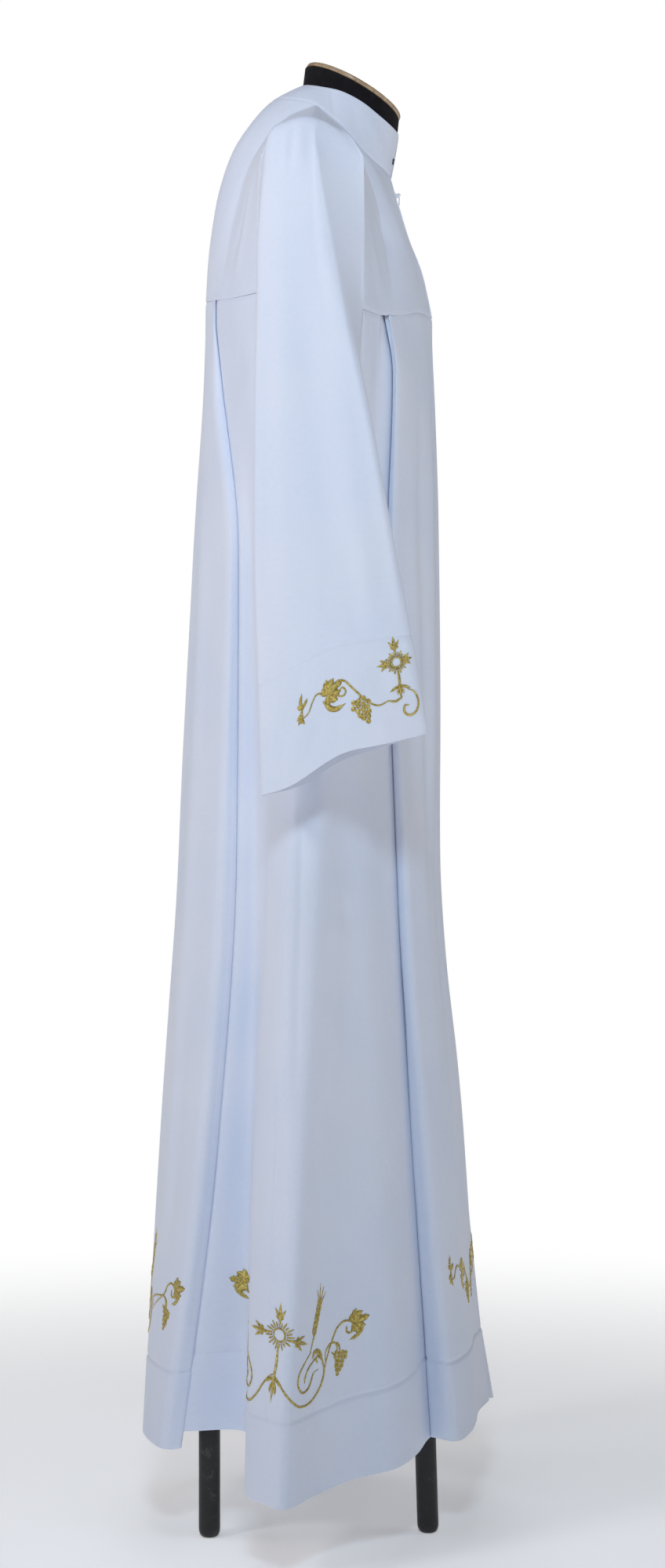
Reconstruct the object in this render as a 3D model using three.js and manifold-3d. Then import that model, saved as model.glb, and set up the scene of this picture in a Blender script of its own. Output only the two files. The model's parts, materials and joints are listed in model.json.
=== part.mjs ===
// A white alb worn by a limbless dress form on a three-legged stand.
// Millimetres, +Z up. X is towards the wearer's left, Y towards the wearer's back.
// The origin is on the floor, under the middle of the whole object's outline.
//
// Tables give points as f (forward of the stand's axis), s (out from the centre plane)
// and z (height). One side is worked out and the other is its mirror image.
import * as THREE from 'three';
import * as BufferGeometryUtils from 'three/addons/utils/BufferGeometryUtils.js';
import Module from 'manifold-3d';

const wasm = await Module();
wasm.setup();

// ---------------------------------------------------------------- driving dimensions
const clothWall = 1.5;
const seamGap = 0.3;
const armholeS = 198;
const zipHalfSlot = 3.5;
const collarHalfGap = 0.8;
const zipTopZ = 1407;
const zipBottomZ = 968;
const zipTapeWidth = 11;
const zipTapeThick = 0.9;
const neckRise = { cx: 35.2, cz: 1506, semiF: 56.2, semiS: 59.2, tiltDeg: 27.9 };
const neckEase = 0.9;
const capThick = 5;
const capOverhang = -0.3;
const torsoBottomZ = 722;
const poleRadius = 16;
const hub = { radius: 27, bottomZ: 222, topZ: 282, poleEndZ: 214 };
const legRadius = 11;
const legBend = 72;
const legTipFlat = 5;
// Feet of the legs and how far each leans outwards on its way down, per millimetre.
const legs = [
  { name: 'leg_back', f: -98, s: 108, leanF: 0 },
  { name: 'leg_front', f: 122, s: 60, leanF: 0.03 },
  { name: 'leg_far', f: -28, s: -140, leanF: 0 },
];
const centreShiftY = -5.342;

// ---------------------------------------------------------------- tables of the cloth
// Neckline, centre front to centre back. Columns: f, s, z.
const neckline = [
  [76, 2.5, 1417], [72, 28, 1417.5], [63, 52, 1421], [50, 70, 1432], [33, 79, 1450],
  [8, 79, 1471], [-14, 72, 1480], [-33, 57, 1487], [-48, 31, 1492], [-54, 0, 1494],
];
const neckSide = 5;
// Top edge of the collar, same rows as the neckline.
const collarTop = [
  [85, 2.5, 1462], [81, 22, 1463], [70, 41, 1469], [53, 55, 1480], [32, 61.5, 1490],
  [10, 58, 1497], [-1, 50.5, 1501.5], [-10, 39, 1506], [-17, 20, 1510.5], [-20, 0, 1513],
];
// Shoulder seam, neck side to shoulder tip.
const shoulderSeam = [[8, 79, 1471], [12, 118, 1453], [16, 160, 1432], [20, 198, 1413]];
// Yoke seam in front and behind, centre to armhole.
const seamFront = [
  [120, 0, 1267], [113, 62, 1257], [101, 108, 1244], [84, 152, 1234], [72, 198, 1229],
];
const seamBack = [
  [-121, 0, 1286], [-113, 50, 1279], [-97, 92, 1270], [-67, 145, 1258], [-31, 198, 1249],
];
// Centre lines of the yokes, seam to neckline.
const centreFront = [
  [120, 0, 1267], [115.5, 0, 1288], [108, 0, 1317], [94, 0, 1353], [86, 0, 1380], [76, 2.5, 1417],
];
const centreBack = [
  [-121, 0, 1286], [-120, 0, 1315], [-117, 0, 1347], [-108, 0, 1397], [-91, 0, 1442],
  [-66, 0, 1478], [-54, 0, 1494],
];
// Armhole edges of the yokes, yoke seam to shoulder tip.
const armholeFront = [
  [72, 198, 1229], [73, 198, 1290], [73, 198, 1345], [70, 198, 1378], [56, 198, 1401], [20, 198, 1413],
];
const armholeBack = [
  [-31, 198, 1249], [-31.5, 198, 1300], [-31, 198, 1350], [-28, 198, 1384], [-14, 198, 1406],
  [20, 198, 1413],
];

// Skirt sections of one side, centre front to centre back: a row per fold point.
// Columns: name, top height, hem height, then f and s at each of the six heights.
const skirtHeights = [1240, 1180, 1000, 700, 400, 80];
const skirtFolds = [
  ['centre_front', 1267, 103, [120, 122, 124, 127, 152, 168], [0, 0, 0, 0, 0, 0]],
  ['front_middle', 1258, 103, [114, 117, 120, 124, 148, 167], [55, 55, 52, 50, 48, 50]],
  ['front_corner', 1237, 104, [91, 101, 97, 108, 129, 158], [128, 126, 117, 110, 106, 101]],
  ['front_tip', 1235, 105, [85, 95, 89, 98, 114, 134], [134, 131, 121, 113, 103, 92]],
  ['front_tuck', 1234.5, 105, [82, 91, 85, 93, 109, 128], [126, 122, 112, 103, 94, 84]],
  ['front_deep_a', 1246, 108, [98, 101, 100, 104, 127, 153], [86, 84, 76, 70, 66, 63]],
  ['front_deep_b', 1246, 108, [93, 95, 93, 96, 119, 147], [84, 82, 72, 66, 63, 60]],
  ['side_start', 1234.5, 104, [78, 84, 78, 87, 102, 122], [126, 120, 112, 104, 96, 87]],
  ['side_front_a', 1233.5, 98, [83, 80, 73, 83, 100, 119], [152, 142, 138, 138, 139, 139]],
  ['side_front_b', 1231, 92, [78, 75, 65, 70, 84, 101], [175, 169, 162, 168, 172, 177]],
  ['side_front_c', 1229, 86, [72, 67, 52, 51, 56, 60], [198, 190, 181, 195, 200, 203]],
  ['ridge_front', 1134, 80, [52, 48, 34, 36, 36, 33], [197.5, 197, 190, 217, 228, 237]],
  ['ridge_tip', 1112, 77, [20, 20, 14, 17, 14, 10], [197.5, 197, 193, 227, 254, 287]],
  ['side_seam', 1130, 78, [-10, -8, -8, 0, -9, -14], [197.5, 197, 190, 221, 248, 273]],
  ['ridge_back', 1249, 80, [-31, -26, -27, -21, -33, -36], [198, 193, 177, 196, 219, 247]],
  ['side_back_a', 1252.5, 90, [-42, -41, -39, -27, -35, -39], [186, 178, 166, 180, 190, 205]],
  ['recess_front', 1259, 112, [-67, -58, -47, -41, -49, -56], [145, 150, 156, 151, 138, 126]],
  ['recess_back', 1270, 113, [-88, -80, -53, -56, -77, -112], [94, 99, 144, 140, 133, 125]],
  ['back_deep_b', 1277, 110, [-101, -96, -80, -86, -108, -138], [52, 57, 98, 96, 92, 90]],
  ['back_deep_a', 1277, 106, [-107, -102, -87, -93, -115, -146], [55, 59, 101, 100, 97, 95]],
  ['back_tuck', 1270.5, 98, [-93, -85, -60, -62, -83, -123], [87, 93, 141, 142, 137, 129]],
  ['back_tip', 1270, 95, [-96, -89, -64, -67, -87, -128], [94, 100, 149, 150, 146, 135]],
  ['back_corner', 1271.5, 95, [-100, -98, -76, -84, -105, -147], [86, 93, 140, 145, 145, 132]],
  ['back_middle', 1279, 95, [-114, -115, -121, -138, -159, -178], [48, 50, 62, 62, 62, 64]],
  ['centre_back', 1286, 97, [-121, -122, -131, -147, -166, -184], [0, 0, 0, 0, 0, 0]],
];
// The left side's front pleat stands further open low down.
// Columns: row, added f and s at the height of 400, added f and s at the hem.
const leftOpening = {
  front_corner: [11, 0, 17, 2],
  front_tip: [13, 3, 26, 16],
  front_tuck: [12, 3, 25, 16],
  front_deep_a: [9, 0, 7, 1],
  front_deep_b: [10, 0, 5, -1],
  side_start: [13, 4, 24, 16],
  side_front_a: [22, -1, 49, -1],
  side_front_b: [34, -4, 71, -5],
  side_front_c: [24, 5, 62, 11],
  ridge_front: [10, 2, 37, 13],
};
const sideSeamRow = 13;
const blendDepth = 70;
const tuckDrop = 2.5;
const seamDrop = 0.3;

// Sleeve sections, shoulder to hem. Columns: section name, whether it is still open towards
// the body, then the outer points (front edge to back edge) and the inner points (back to front).
const sleeveOuter = [
  ['seam', [[72, 198, 1378], [58, 198, 1399], [40, 198, 1409], [20, 198, 1413], [0, 198, 1411],
    [-17, 198, 1403], [-28, 198, 1383]]],
  ['head', [[72.8, 198, 1362], [34, 217, 1396], [27, 220, 1402], [15, 221, 1405], [0, 220, 1402],
    [-19, 214, 1394], [-31, 198, 1362]]],
  ['upper', [[73, 198, 1300], [43, 231, 1301], [27, 234, 1302], [8, 233, 1303], [-11, 229, 1303],
    [-28, 219, 1303], [-31.4, 198, 1305]]],
  ['chest', [[72, 198, 1229], [57, 238, 1229], [36, 241, 1232], [12, 240, 1236], [-10, 236, 1242],
    [-28, 226, 1247], [-31, 198, 1249]]],
  ['underarm', [[72, 226, 1136], [79, 247, 1136], [50, 252, 1138], [20, 253, 1140],
    [-8, 249, 1142], [-28, 240, 1145], [-27, 216, 1147]]],
  ['elbow', [[98, 237, 984], [108, 256, 984], [76, 266, 983], [40, 268, 982], [5, 264, 980],
    [-25, 254, 978], [-27, 232, 978]]],
  ['cuff_top', [[116, 246, 903], [125, 266, 902], [90, 279, 897], [52, 283, 889], [14, 279, 869],
    [-19, 267, 857], [-20, 245, 856]]],
  ['hem', [[132, 248, 811], [140, 268, 808], [104, 285, 798], [62, 290, 788], [16, 287, 760],
    [-15, 275, 751], [-17, 250, 752]]],
];
const sleeveInner = [
  ['chest', [[-31, 198, 1249], [-15, 198, 1160], [20, 198, 1112], [55, 198, 1148], [72, 198, 1229]]],
  ['underarm', [[-27, 216, 1147], [-8, 206, 1112], [22, 203, 1080], [52, 208, 1104],
    [72, 226, 1136]]],
  ['elbow', [[-27, 232, 978], [5, 225, 972], [38, 225, 968], [72, 229, 975], [98, 237, 984]]],
  ['cuff_top', [[-20, 245, 856], [15, 236, 865], [52, 235, 876], [88, 238, 890], [116, 246, 903]]],
  ['hem', [[-17, 250, 752], [18, 238, 762], [58, 236, 786], [98, 239, 798], [132, 248, 811]]],
];
// The left sleeve hangs further back: how far at the hem.
const leftSwing = 47;
const sleeveOpenRows = 3;
const cuffRow = 6;

// Torso of the form below the yoke. Columns: z, centre f, half depth, half width, squareness.
const torsoSections = [
  [1185, -3, 84, 152, 2.1], [1120, -2, 82, 146, 2.1], [1030, -1, 76, 132, 2.1],
  [940, -2, 80, 137, 2.1], [850, -2, 84, 141, 2.1], [torsoBottomZ, -2, 80, 136, 2.1],
];

// ---------------------------------------------------------------- curves and skins
const mix = (a, b, t) => a.map((v, k) => v + (b[k] - v) * t);

// A smooth curve through the rows of a table, at t from 0 to 1 along its rows.
function along(rows, t) {
  const last = rows.length - 1;
  const x = Math.min(Math.max(t, 0), 1) * last;
  const i = Math.min(Math.floor(x), last - 1);
  const u = x - i;
  const p1 = rows[i];
  const p2 = rows[i + 1];
  const p0 = i > 0 ? rows[i - 1] : mix(p2, p1, 2);
  const p3 = i + 2 <= last ? rows[i + 2] : mix(p1, p2, 2);
  return p1.map((v, k) => 0.5 * (2 * v + (p2[k] - p0[k]) * u
    + (2 * p0[k] - 5 * v + 4 * p2[k] - p3[k]) * u * u
    + (3 * v - p0[k] - 3 * p2[k] + p3[k]) * u * u * u));
}

// The same kind of curve for a column of numbers at uneven positions, kept free of overshoot.
function atHeight(heights, values, z) {
  const n = heights.length;
  let i = 0;
  while (i < n - 2 && z < heights[i + 1]) i += 1;
  const h = heights[i] - heights[i + 1];
  const u = Math.min(Math.max((heights[i] - z) / h, 0), 1);
  const slope = (a, b) => (values[b] - values[a]) / (heights[a] - heights[b]);
  const tangent = (k) => {
    if (k === 0) return slope(0, 1);
    if (k === n - 1) return slope(n - 2, n - 1);
    const before = slope(k - 1, k);
    const after = slope(k, k + 1);
    return before * after <= 0 ? 0 : (2 * before * after) / (before + after);
  };
  const m0 = tangent(i) * h;
  const m1 = tangent(i + 1) * h;
  const u2 = u * u;
  const u3 = u2 * u;
  return (2 * u3 - 3 * u2 + 1) * values[i] + (u3 - 2 * u2 + u) * m0
    + (3 * u2 - 2 * u3) * values[i + 1] + (u3 - u2) * m1;
}

const steps = (n) => Array.from({ length: n + 1 }, (_, i) => i / n);

// A surface stretched between four edge curves that meet at their ends.
function stretched(bottom, top, left, right, s, t) {
  const b = bottom(s);
  const p = top(s);
  const l = left(t);
  const r = right(t);
  const corner = mix(mix(bottom(0), bottom(1), s), mix(top(0), top(1), s), t);
  return b.map((v, k) => v * (1 - t) + p[k] * t + l[k] * (1 - s) + r[k] * s - corner[k]);
}

const toWorld = ([f, s, z], side) => [-side * s, -f, z];

// Surface patches welded by position. Each face belongs to a named piece of cloth.
class Skin {
  constructor() {
    this.points = [];
    this.keys = new Map();
    this.faces = [];
  }

  point(p) {
    const key = p.map((v) => Math.round(Math.abs(v) * 997.3) * Math.sign(v)).join(',');
    if (!this.keys.has(key)) {
      this.keys.set(key, this.points.length);
      this.points.push(p);
    }
    return this.keys.get(key);
  }

  // Adds a grid of points; flip turns the faces' outside over.
  grid(rows, piece, flip = false) {
    const ids = rows.map((row) => row.map((p) => this.point(p)));
    for (let r = 0; r + 1 < ids.length; r += 1) {
      for (let c = 0; c + 1 < ids[r].length; c += 1) {
        const quad = [ids[r][c], ids[r][c + 1], ids[r + 1][c + 1], ids[r + 1][c]];
        for (const corners of [[0, 1, 2], [0, 2, 3]]) {
          if (flip) corners.reverse();
          this.triangle(corners.map((k) => quad[k]), piece);
        }
      }
    }
  }

  triangle(ids, piece) {
    const same = ids[0] === ids[1] || ids[1] === ids[2] || ids[0] === ids[2];
    if (!same) this.faces.push({ ids, piece });
  }

  // Directions at the points, lengthened at folds so that a wall keeps its thickness there.
  directions(adjust) {
    const vec = (i) => new THREE.Vector3(...this.points[i]);
    const sums = this.points.map(() => new THREE.Vector3());
    const around = this.points.map(() => []);
    for (const { ids } of this.faces) {
      const [a, b, c] = ids.map(vec);
      const normal = b.clone().sub(a).cross(c.clone().sub(a));
      if (normal.length() < 1e-9) continue;
      normal.normalize();
      ids.forEach((id, k) => {
        const p = vec(id);
        const q = vec(ids[(k + 1) % 3]).sub(p);
        const r = vec(ids[(k + 2) % 3]).sub(p);
        sums[id].addScaledVector(normal, q.angleTo(r));
        around[id].push(normal);
      });
    }
    return sums.map((sum, i) => {
      const n = sum.length() > 1e-9 ? sum.clone().normalize() : new THREE.Vector3(0, 0, 1);
      const least = Math.min(...around[i].map((m) => m.dot(n)), 1);
      n.multiplyScalar(1 / Math.min(Math.max(least, 0.62), 1));
      return adjust ? adjust(n, this.points[i]) : n;
    });
  }

  // The closed wall of one piece, its outside on the skin and its edges drawn in by half a seam.
  wall(piece, thickness, directions, keepEdge = () => false) {
    const faces = this.faces.filter((face) => face.piece === piece);
    const edges = new Map();
    for (const { ids } of faces) {
      ids.forEach((a, k) => {
        const b = ids[(k + 1) % 3];
        if (edges.has(`${b},${a}`)) edges.delete(`${b},${a}`);
        else edges.set(`${a},${b}`, [a, b]);
      });
    }
    const onEdge = new Set([...edges.values()].flat());
    const inward = new Map();
    for (const { ids } of faces) {
      const centre = ids.reduce((sum, id) => sum.add(new THREE.Vector3(...this.points[id])),
        new THREE.Vector3()).multiplyScalar(1 / 3);
      for (const id of ids.filter((i) => onEdge.has(i))) {
        const away = centre.clone().sub(new THREE.Vector3(...this.points[id]));
        if (!inward.has(id)) inward.set(id, new THREE.Vector3());
        inward.get(id).add(away.normalize());
      }
    }
    const used = [...new Set(faces.flatMap(({ ids }) => ids))];
    const place = new Map(used.map((id, k) => [id, k]));
    const outer = used.map((id) => {
      const p = new THREE.Vector3(...this.points[id]);
      if (onEdge.has(id) && !keepEdge(this.points[id])) {
        p.addScaledVector(inward.get(id).normalize(), seamGap * 0.5);
      }
      return p;
    });
    const inner = used.map((id, k) => outer[k].clone().addScaledVector(directions[id], -thickness));
    const count = used.length;
    const index = [];
    for (const { ids } of faces) {
      const [a, b, c] = ids.map((id) => place.get(id));
      index.push(a, b, c, c + count, b + count, a + count);
    }
    for (const [from, to] of edges.values()) {
      const a = place.get(from);
      const b = place.get(to);
      if (from < to) index.push(b, a, a + count, b, a + count, b + count);
      else index.push(b, a, b + count, a, a + count, b + count);
    }
    return meshGeometry([...outer, ...inner], index);
  }
}

function meshGeometry(points, index) {
  const geometry = new THREE.BufferGeometry();
  const positions = new Float32Array(points.flatMap((p) => [p.x, p.y, p.z]));
  geometry.setAttribute('position', new THREE.BufferAttribute(positions, 3));
  geometry.setIndex(index);
  return geometry;
}

// ---------------------------------------------------------------- yokes and collar
const neckCols = 7;
const seamCols = 5;
const yokeCols = neckCols + seamCols;
const yokeRows = 9;
const sidePart = neckSide / (neckline.length - 1);

function yokeTop(rows, from, to) {
  return (s) => {
    const split = neckCols / yokeCols;
    if (s <= split) return along(rows, from + ((to - from) * s) / split);
    return along(shoulderSeam, (s - split) / (1 - split));
  };
}

const frontPatch = (s, t) => stretched((u) => along(seamFront, u), yokeTop(neckline, 0, sidePart),
  (u) => along(centreFront, u), (u) => along(armholeFront, u), s, t);
const backPatch = (s, t) => stretched((u) => along(seamBack, u), yokeTop(neckline, 1, sidePart),
  (u) => along(centreBack, u), (u) => along(armholeBack, u), s, t);

// The front edges stand apart by the zip's slot and nearly meet at the collar.
function partedFront(p, t) {
  return [p[0], t < 1 ? zipHalfSlot : collarHalfGap, p[2]];
}

function patchRows(patch, side, parted = false) {
  return steps(yokeRows).map((t) => steps(yokeCols).map((s) => {
    const p = patch(s, t);
    return toWorld(parted && s === 0 ? partedFront(p, t) : p, side);
  }));
}

// The collar: from the neckline to its own top edge.
function collarRows(side) {
  const cols = [
    ...steps(neckCols).map((u) => u * sidePart),
    ...steps(neckCols).slice(1).map((u) => sidePart + u * (1 - sidePart)),
  ];
  return steps(2).map((t) => cols.map((u) => {
    const p = mix(along(neckline, u), along(collarTop, u), t);
    return toWorld(u === 0 ? partedFront(p, 1) : p, side);
  }));
}

const upper = new Skin();
for (const side of [1, -1]) {
  const label = side > 0 ? 'right' : 'left';
  upper.grid(patchRows(frontPatch, side, true), `yoke_front_${label}`, side > 0);
  upper.grid(patchRows(backPatch, side), 'yoke_back', side < 0);
  upper.grid(collarRows(side), 'collar', side > 0);
}
const isYokeSeam = (p) => {
  const s = Math.abs(p[0]);
  const table = p[1] < 0 ? seamFront : seamBack;
  return steps(60).some((u) => {
    const q = along(table, u);
    return Math.abs(q[1] - s) < 3 && Math.abs(q[2] - p[2]) < 1.5;
  });
};
const isArmhole = (p) => Math.abs(Math.abs(p[0]) - armholeS) < 0.01;
const flatEdges = (n, p) => {
  const length = n.length();
  if (isYokeSeam(p)) n.z = 0;
  if (isArmhole(p)) n.x = 0;
  return n.setLength(length);
};
const upperOut = upper.directions(flatEdges);

// ---------------------------------------------------------------- skirt
const skirtCols = 3;
const skirtRows = 11;

function skirtSection(row, z, side) {
  const [name, , , f, s] = skirtFolds[row];
  const opening = (side < 0 && leftOpening[name]) || [0, 0, 0, 0];
  const fs = f.map((v, k) => v + (k === 4 ? opening[0] : 0) + (k === 5 ? opening[2] : 0));
  const ss = s.map((v, k) => v + (k === 4 ? opening[1] : 0) + (k === 5 ? opening[3] : 0));
  return [atHeight(skirtHeights, fs, z), atHeight(skirtHeights, ss, z)];
}

// One column of the skirt at x, a position along the rows of the fold table.
function skirtPoint(x, t, side) {
  const last = skirtFolds.length - 1;
  const u = x / last;
  const ends = along(skirtFolds.map(([, top, hem]) => [top, hem]), u);
  const z = ends[0] + (ends[1] - ends[0]) * t;
  const section = along(skirtFolds.map((_, row) => skirtSection(row, z, side)), u);
  return [section[0], section[1], z];
}

// The outermost layers follow the yoke's lower edge for the first part of their fall.
function onSeam(table, p) {
  let best = null;
  for (const u of steps(240)) {
    const q = along(table, u);
    const d = Math.abs(q[1] - p[1]);
    if (!best || d < best.d) best = { d, q };
  }
  return best.q;
}
const outerRanges = [[0, 3, 'front'], [8, 10, 'front'], [14, 16, 'back'], [21, 24, 'back']];
function seamPull(x) {
  for (const [from, to, where] of outerRanges) {
    if (x >= from - 0.01 && x <= to + 0.01) return where === 'front' ? seamFront : seamBack;
  }
  return null;
}

function skirtColumn(x, side) {
  const top = skirtPoint(x, 0, side);
  const outside = seamPull(x);
  const open = x > 10 && x < 14;
  const seam = onSeam(x < sideSeamRow ? seamFront : seamBack, top);
  const drop = outside ? seamDrop : tuckDrop;
  const target = outside ? [seam[0], seam[1], seam[2] - drop]
    : [top[0], top[1], open ? top[2] : seam[2] - drop];
  return steps(skirtRows).map((t) => {
    const p = skirtPoint(x, t, side);
    const fade = Math.max(0, 1 - (top[2] - p[2]) / blendDepth) ** 2;
    const zip = Math.min(Math.max((p[2] - (zipBottomZ - 8)) / 24, 0), 1);
    const s = x === 0 ? zipHalfSlot * zip : p[1] + (target[1] - top[1]) * fade;
    const beside = p[2] > 1105 ? Math.min(s, armholeS) : s;
    return [p[0] + (target[0] - top[0]) * fade, beside, p[2] + (target[2] - top[2]) * fade];
  });
}

// Extra columns where the cloth turns sharply.
const columns = [];
for (let row = 0; row < skirtFolds.length - 1; row += 1) {
  const n = row === 0 || row === 23 ? skirtCols : 2;
  for (let k = 0; k < n; k += 1) columns.push(row + k / n);
}
columns.push(skirtFolds.length - 1);

const skirt = new Skin();
for (const side of [1, -1]) {
  const label = side > 0 ? 'right' : 'left';
  const front = columns.filter((x) => x <= sideSeamRow).map((x) => skirtColumn(x, side));
  const back = columns.filter((x) => x >= sideSeamRow).map((x) => skirtColumn(x, side));
  const rows = (cols) => cols.map((col) => col.map((p) => toWorld(p, side)));
  skirt.grid(rows(front), `skirt_front_${label}`, side > 0);
  skirt.grid(rows(back), 'skirt_back', side > 0);
}
const skirtTop = new Set(columns.flatMap((x) => [1, -1]
  .map((side) => skirt.point(toWorld(skirtColumn(x, side)[0], side)))));
const skirtOut = skirt.directions();
// The top edge's wall stays level, so that it keeps its gap to the yoke above.
skirtTop.forEach((id) => {
  const n = skirtOut[id];
  const length = n.length();
  n.z = 0;
  n.setLength(length);
});

// ---------------------------------------------------------------- sleeves
const outerCols = 12;
const innerCols = 8;
const rowStops = [0, 0.5, 1, 1.5, 2, 2.5, 3, 3.4, 3.8, 4.2, 4.6, 5, 5.5, 6, 6.5, 7];

function sleeveRow(table, position, t, side) {
  const at = position / (table.length - 1);
  const p = along(table.map(([, points]) => along(points, t)), at);
  const fall = Math.max(0, (1229 - p[2]) / 449);
  return side > 0 ? p : [p[0] - leftSwing * fall ** 1.15, p[1], p[2]];
}

const sleeves = new Skin();
for (const side of [1, -1]) {
  const label = side > 0 ? 'right' : 'left';
  const out = side * (armholeS + seamGap);
  const clear = (p) => [side < 0 ? Math.max(p[0], -out) : Math.min(p[0], -out), p[1], p[2]];
  const outer = (stop) => steps(outerCols).map((t) => clear(toWorld(
    sleeveRow(sleeveOuter, stop, t, side), side)));
  const inner = (stop) => steps(innerCols).map((t, k) => {
    if (k === 0) return outer(stop)[outerCols];
    if (k === innerCols) return outer(stop)[0];
    return clear(toWorld(sleeveRow(sleeveInner, stop - sleeveOpenRows, t, side), side));
  });
  const upperStops = rowStops.filter((r) => r <= cuffRow);
  const cuffStops = rowStops.filter((r) => r >= cuffRow);
  const lower = upperStops.filter((r) => r >= sleeveOpenRows);
  sleeves.grid(upperStops.map(outer), `sleeve_${label}`, side < 0);
  sleeves.grid(lower.map(inner), `sleeve_${label}`, side < 0);
  sleeves.grid(cuffStops.map(outer), `cuff_${label}`, side < 0);
  sleeves.grid(cuffStops.map(inner), `cuff_${label}`, side < 0);
}
const sleeveOut = sleeves.directions((n, p) => {
  const length = n.length();
  if (Math.abs(Math.abs(p[0]) - armholeS - seamGap) < 0.01) n.x = 0;
  return n.setLength(length);
});

// ---------------------------------------------------------------- dress form
// The form's skin lies inside the yokes, closest at the shoulders, and goes on below them.
const plateCols = 4;
const form = new Skin();
const neckRings = [];
const coreShift = (p) => {
  const out = Math.abs(p[0]);
  const rest = Math.min(Math.max((1405 - p[2]) / 120, 0), 1);
  const shoulder = Math.min(Math.max((out - 70) / 40, 0), 1);
  return clothWall + 3.4 - 2.5 * shoulder * (1 - rest) + 14 * rest;
};
const superPoint = ([z, centre, depth, width, power], f, s) => {
  const angle = Math.atan2(s / width, (f - centre) / depth);
  const c = Math.cos(angle);
  const q = Math.sin(angle);
  const reach = (Math.abs(c) ** power + Math.abs(q) ** power) ** (-1 / power);
  return [centre + depth * reach * c, width * reach * q, z];
};

for (const side of [1, -1]) {
  const rowsOf = (patch) => steps(yokeRows).map((t) => steps(yokeCols).map((s) => patch(s, t)));
  const front = rowsOf(frontPatch).map((row) => row.map((p, k) => (k ? p : [p[0], 0, p[2]])));
  const back = rowsOf(backPatch).map((row) => row.map((p, k) => (k ? p : [p[0], 0, p[2]])));
  const plate = steps(yokeRows).map((t, r) => steps(plateCols)
    .map((u) => mix(front[r][yokeCols], back[r][yokeCols], u)));
  const world = (rows) => rows.map((row) => row.map((p) => toWorld(p, side)));
  form.grid(world(front), 'form', side > 0);
  form.grid(world(back), 'form', side < 0);
  form.grid(world(plate), 'form', side > 0);
  const ring = [...front[0], ...plate[0].slice(1), ...back[0].slice(0, -1).reverse()];
  const lower = [ring, ...torsoSections.map((section) => ring.map((p, k) => {
    const q = superPoint(section, p[0], p[1]);
    return k === 0 || k === ring.length - 1 ? [q[0], 0, q[2]] : q;
  }))];
  form.grid(world(lower), 'form', side < 0);
  const neckRing = collarRows(side)[0].map((p) => [...p]);
  neckRing[0][0] = 0;
  neckRings.push(neckRing);
}
const formOut = form.directions();
const formPoints = form.points.map((p, i) => {
  const inTorso = p[2] < 1228;
  const shift = inTorso ? 0 : coreShift(p);
  return new THREE.Vector3(...p).addScaledVector(formOut[i], -shift);
});
const tilt = THREE.MathUtils.degToRad(neckRise.tiltDeg);
const neckAxis = { f: Math.sin(tilt), z: Math.cos(tilt) };
// A point of the neck's oval at an angle from straight ahead, at a rise above its top plane.
function neckOval(angle, rise, grow = 0) {
  const a = (neckRise.semiF + grow) * Math.cos(angle);
  const b = (neckRise.semiS + grow) * Math.sin(angle);
  const f = neckRise.cx + a * neckAxis.z + rise * neckAxis.f;
  const z = neckRise.cz - a * neckAxis.f + rise * neckAxis.z;
  return new THREE.Vector3(-b, -f, z);
}
const formFaces = form.faces.flatMap(({ ids }) => ids);
const collarSides = [1, -1].map((side) => collarRows(side));
// A point of the neck beside one of the collar's points, moved in towards the neck's middle.
function insideCollar(which, row, k, depth, onCentre) {
  const edge = new THREE.Vector3(...collarSides[which][row][k]);
  const middle = row === 2 ? new THREE.Vector3(0, -32.5, 1487.5) : new THREE.Vector3(0, -22, 1471);
  edge.addScaledVector(middle.sub(edge).normalize(), depth);
  if (onCentre) edge.x = 0;
  return edge;
}
neckRings.forEach((ring, which) => {
  const side = which === 0 ? 1 : -1;
  const base = ring.map((p) => form.point(p));
  const top = base.map((_, k) => {
    const [x, y, z] = collarSides[which][2][k];
    const ahead = (-y - 32.5) * neckAxis.z - (z - 1487.5) * neckAxis.f;
    const ends = { 0: 0, [base.length - 1]: Math.PI };
    const angle = ends[k] ?? Math.atan2(Math.abs(x), ahead);
    const key = `top${side < 0 && k > 0 && k < base.length - 1 ? 'L' : ''}${k}`;
    return { key, p: neckOval(side * angle, -seamGap) };
  });
  const collarLevel = base.map((id, k) => {
    const key = `mid${side < 0 && k > 0 && k < base.length - 1 ? 'L' : ''}${k}`;
    const onCentre = k === 0 || k === base.length - 1;
    return { key, p: insideCollar(which, 2, k, clothWall + neckEase, onCentre) };
  });
  const add = ({ key, p }) => {
    if (!form.keys.has(key)) {
      form.keys.set(key, formPoints.length);
      formPoints.push(p);
    }
    return form.keys.get(key);
  };
  const halfway = base.map((_, k) => {
    const key = `half${side < 0 && k > 0 && k < base.length - 1 ? 'L' : ''}${k}`;
    return { key, p: insideCollar(which, 1, k, clothWall + 2.2, k === 0 || k === base.length - 1) };
  });
  const rings = [base, halfway.map(add), collarLevel.map(add), top.map(add)];
  const centreTop = add({ key: 'capCentre', p: neckOval(0, -seamGap).add(neckOval(Math.PI, -seamGap))
    .multiplyScalar(0.5) });
  for (let r = 0; r < 3; r += 1) {
    for (let k = 0; k + 1 < base.length; k += 1) {
      const quad = [rings[r][k], rings[r][k + 1], rings[r + 1][k + 1], rings[r + 1][k]];
      for (const corners of [[0, 1, 2], [0, 2, 3]]) {
        if (side > 0) corners.reverse();
        formFaces.push(...corners.map((c) => quad[c]));
      }
    }
  }
  for (let k = 0; k + 1 < base.length; k += 1) {
    const tri = [rings[3][k], rings[3][k + 1], centreTop];
    if (side > 0) tri.reverse();
    formFaces.push(...tri);
  }
});
const bottomIds = [];
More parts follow.
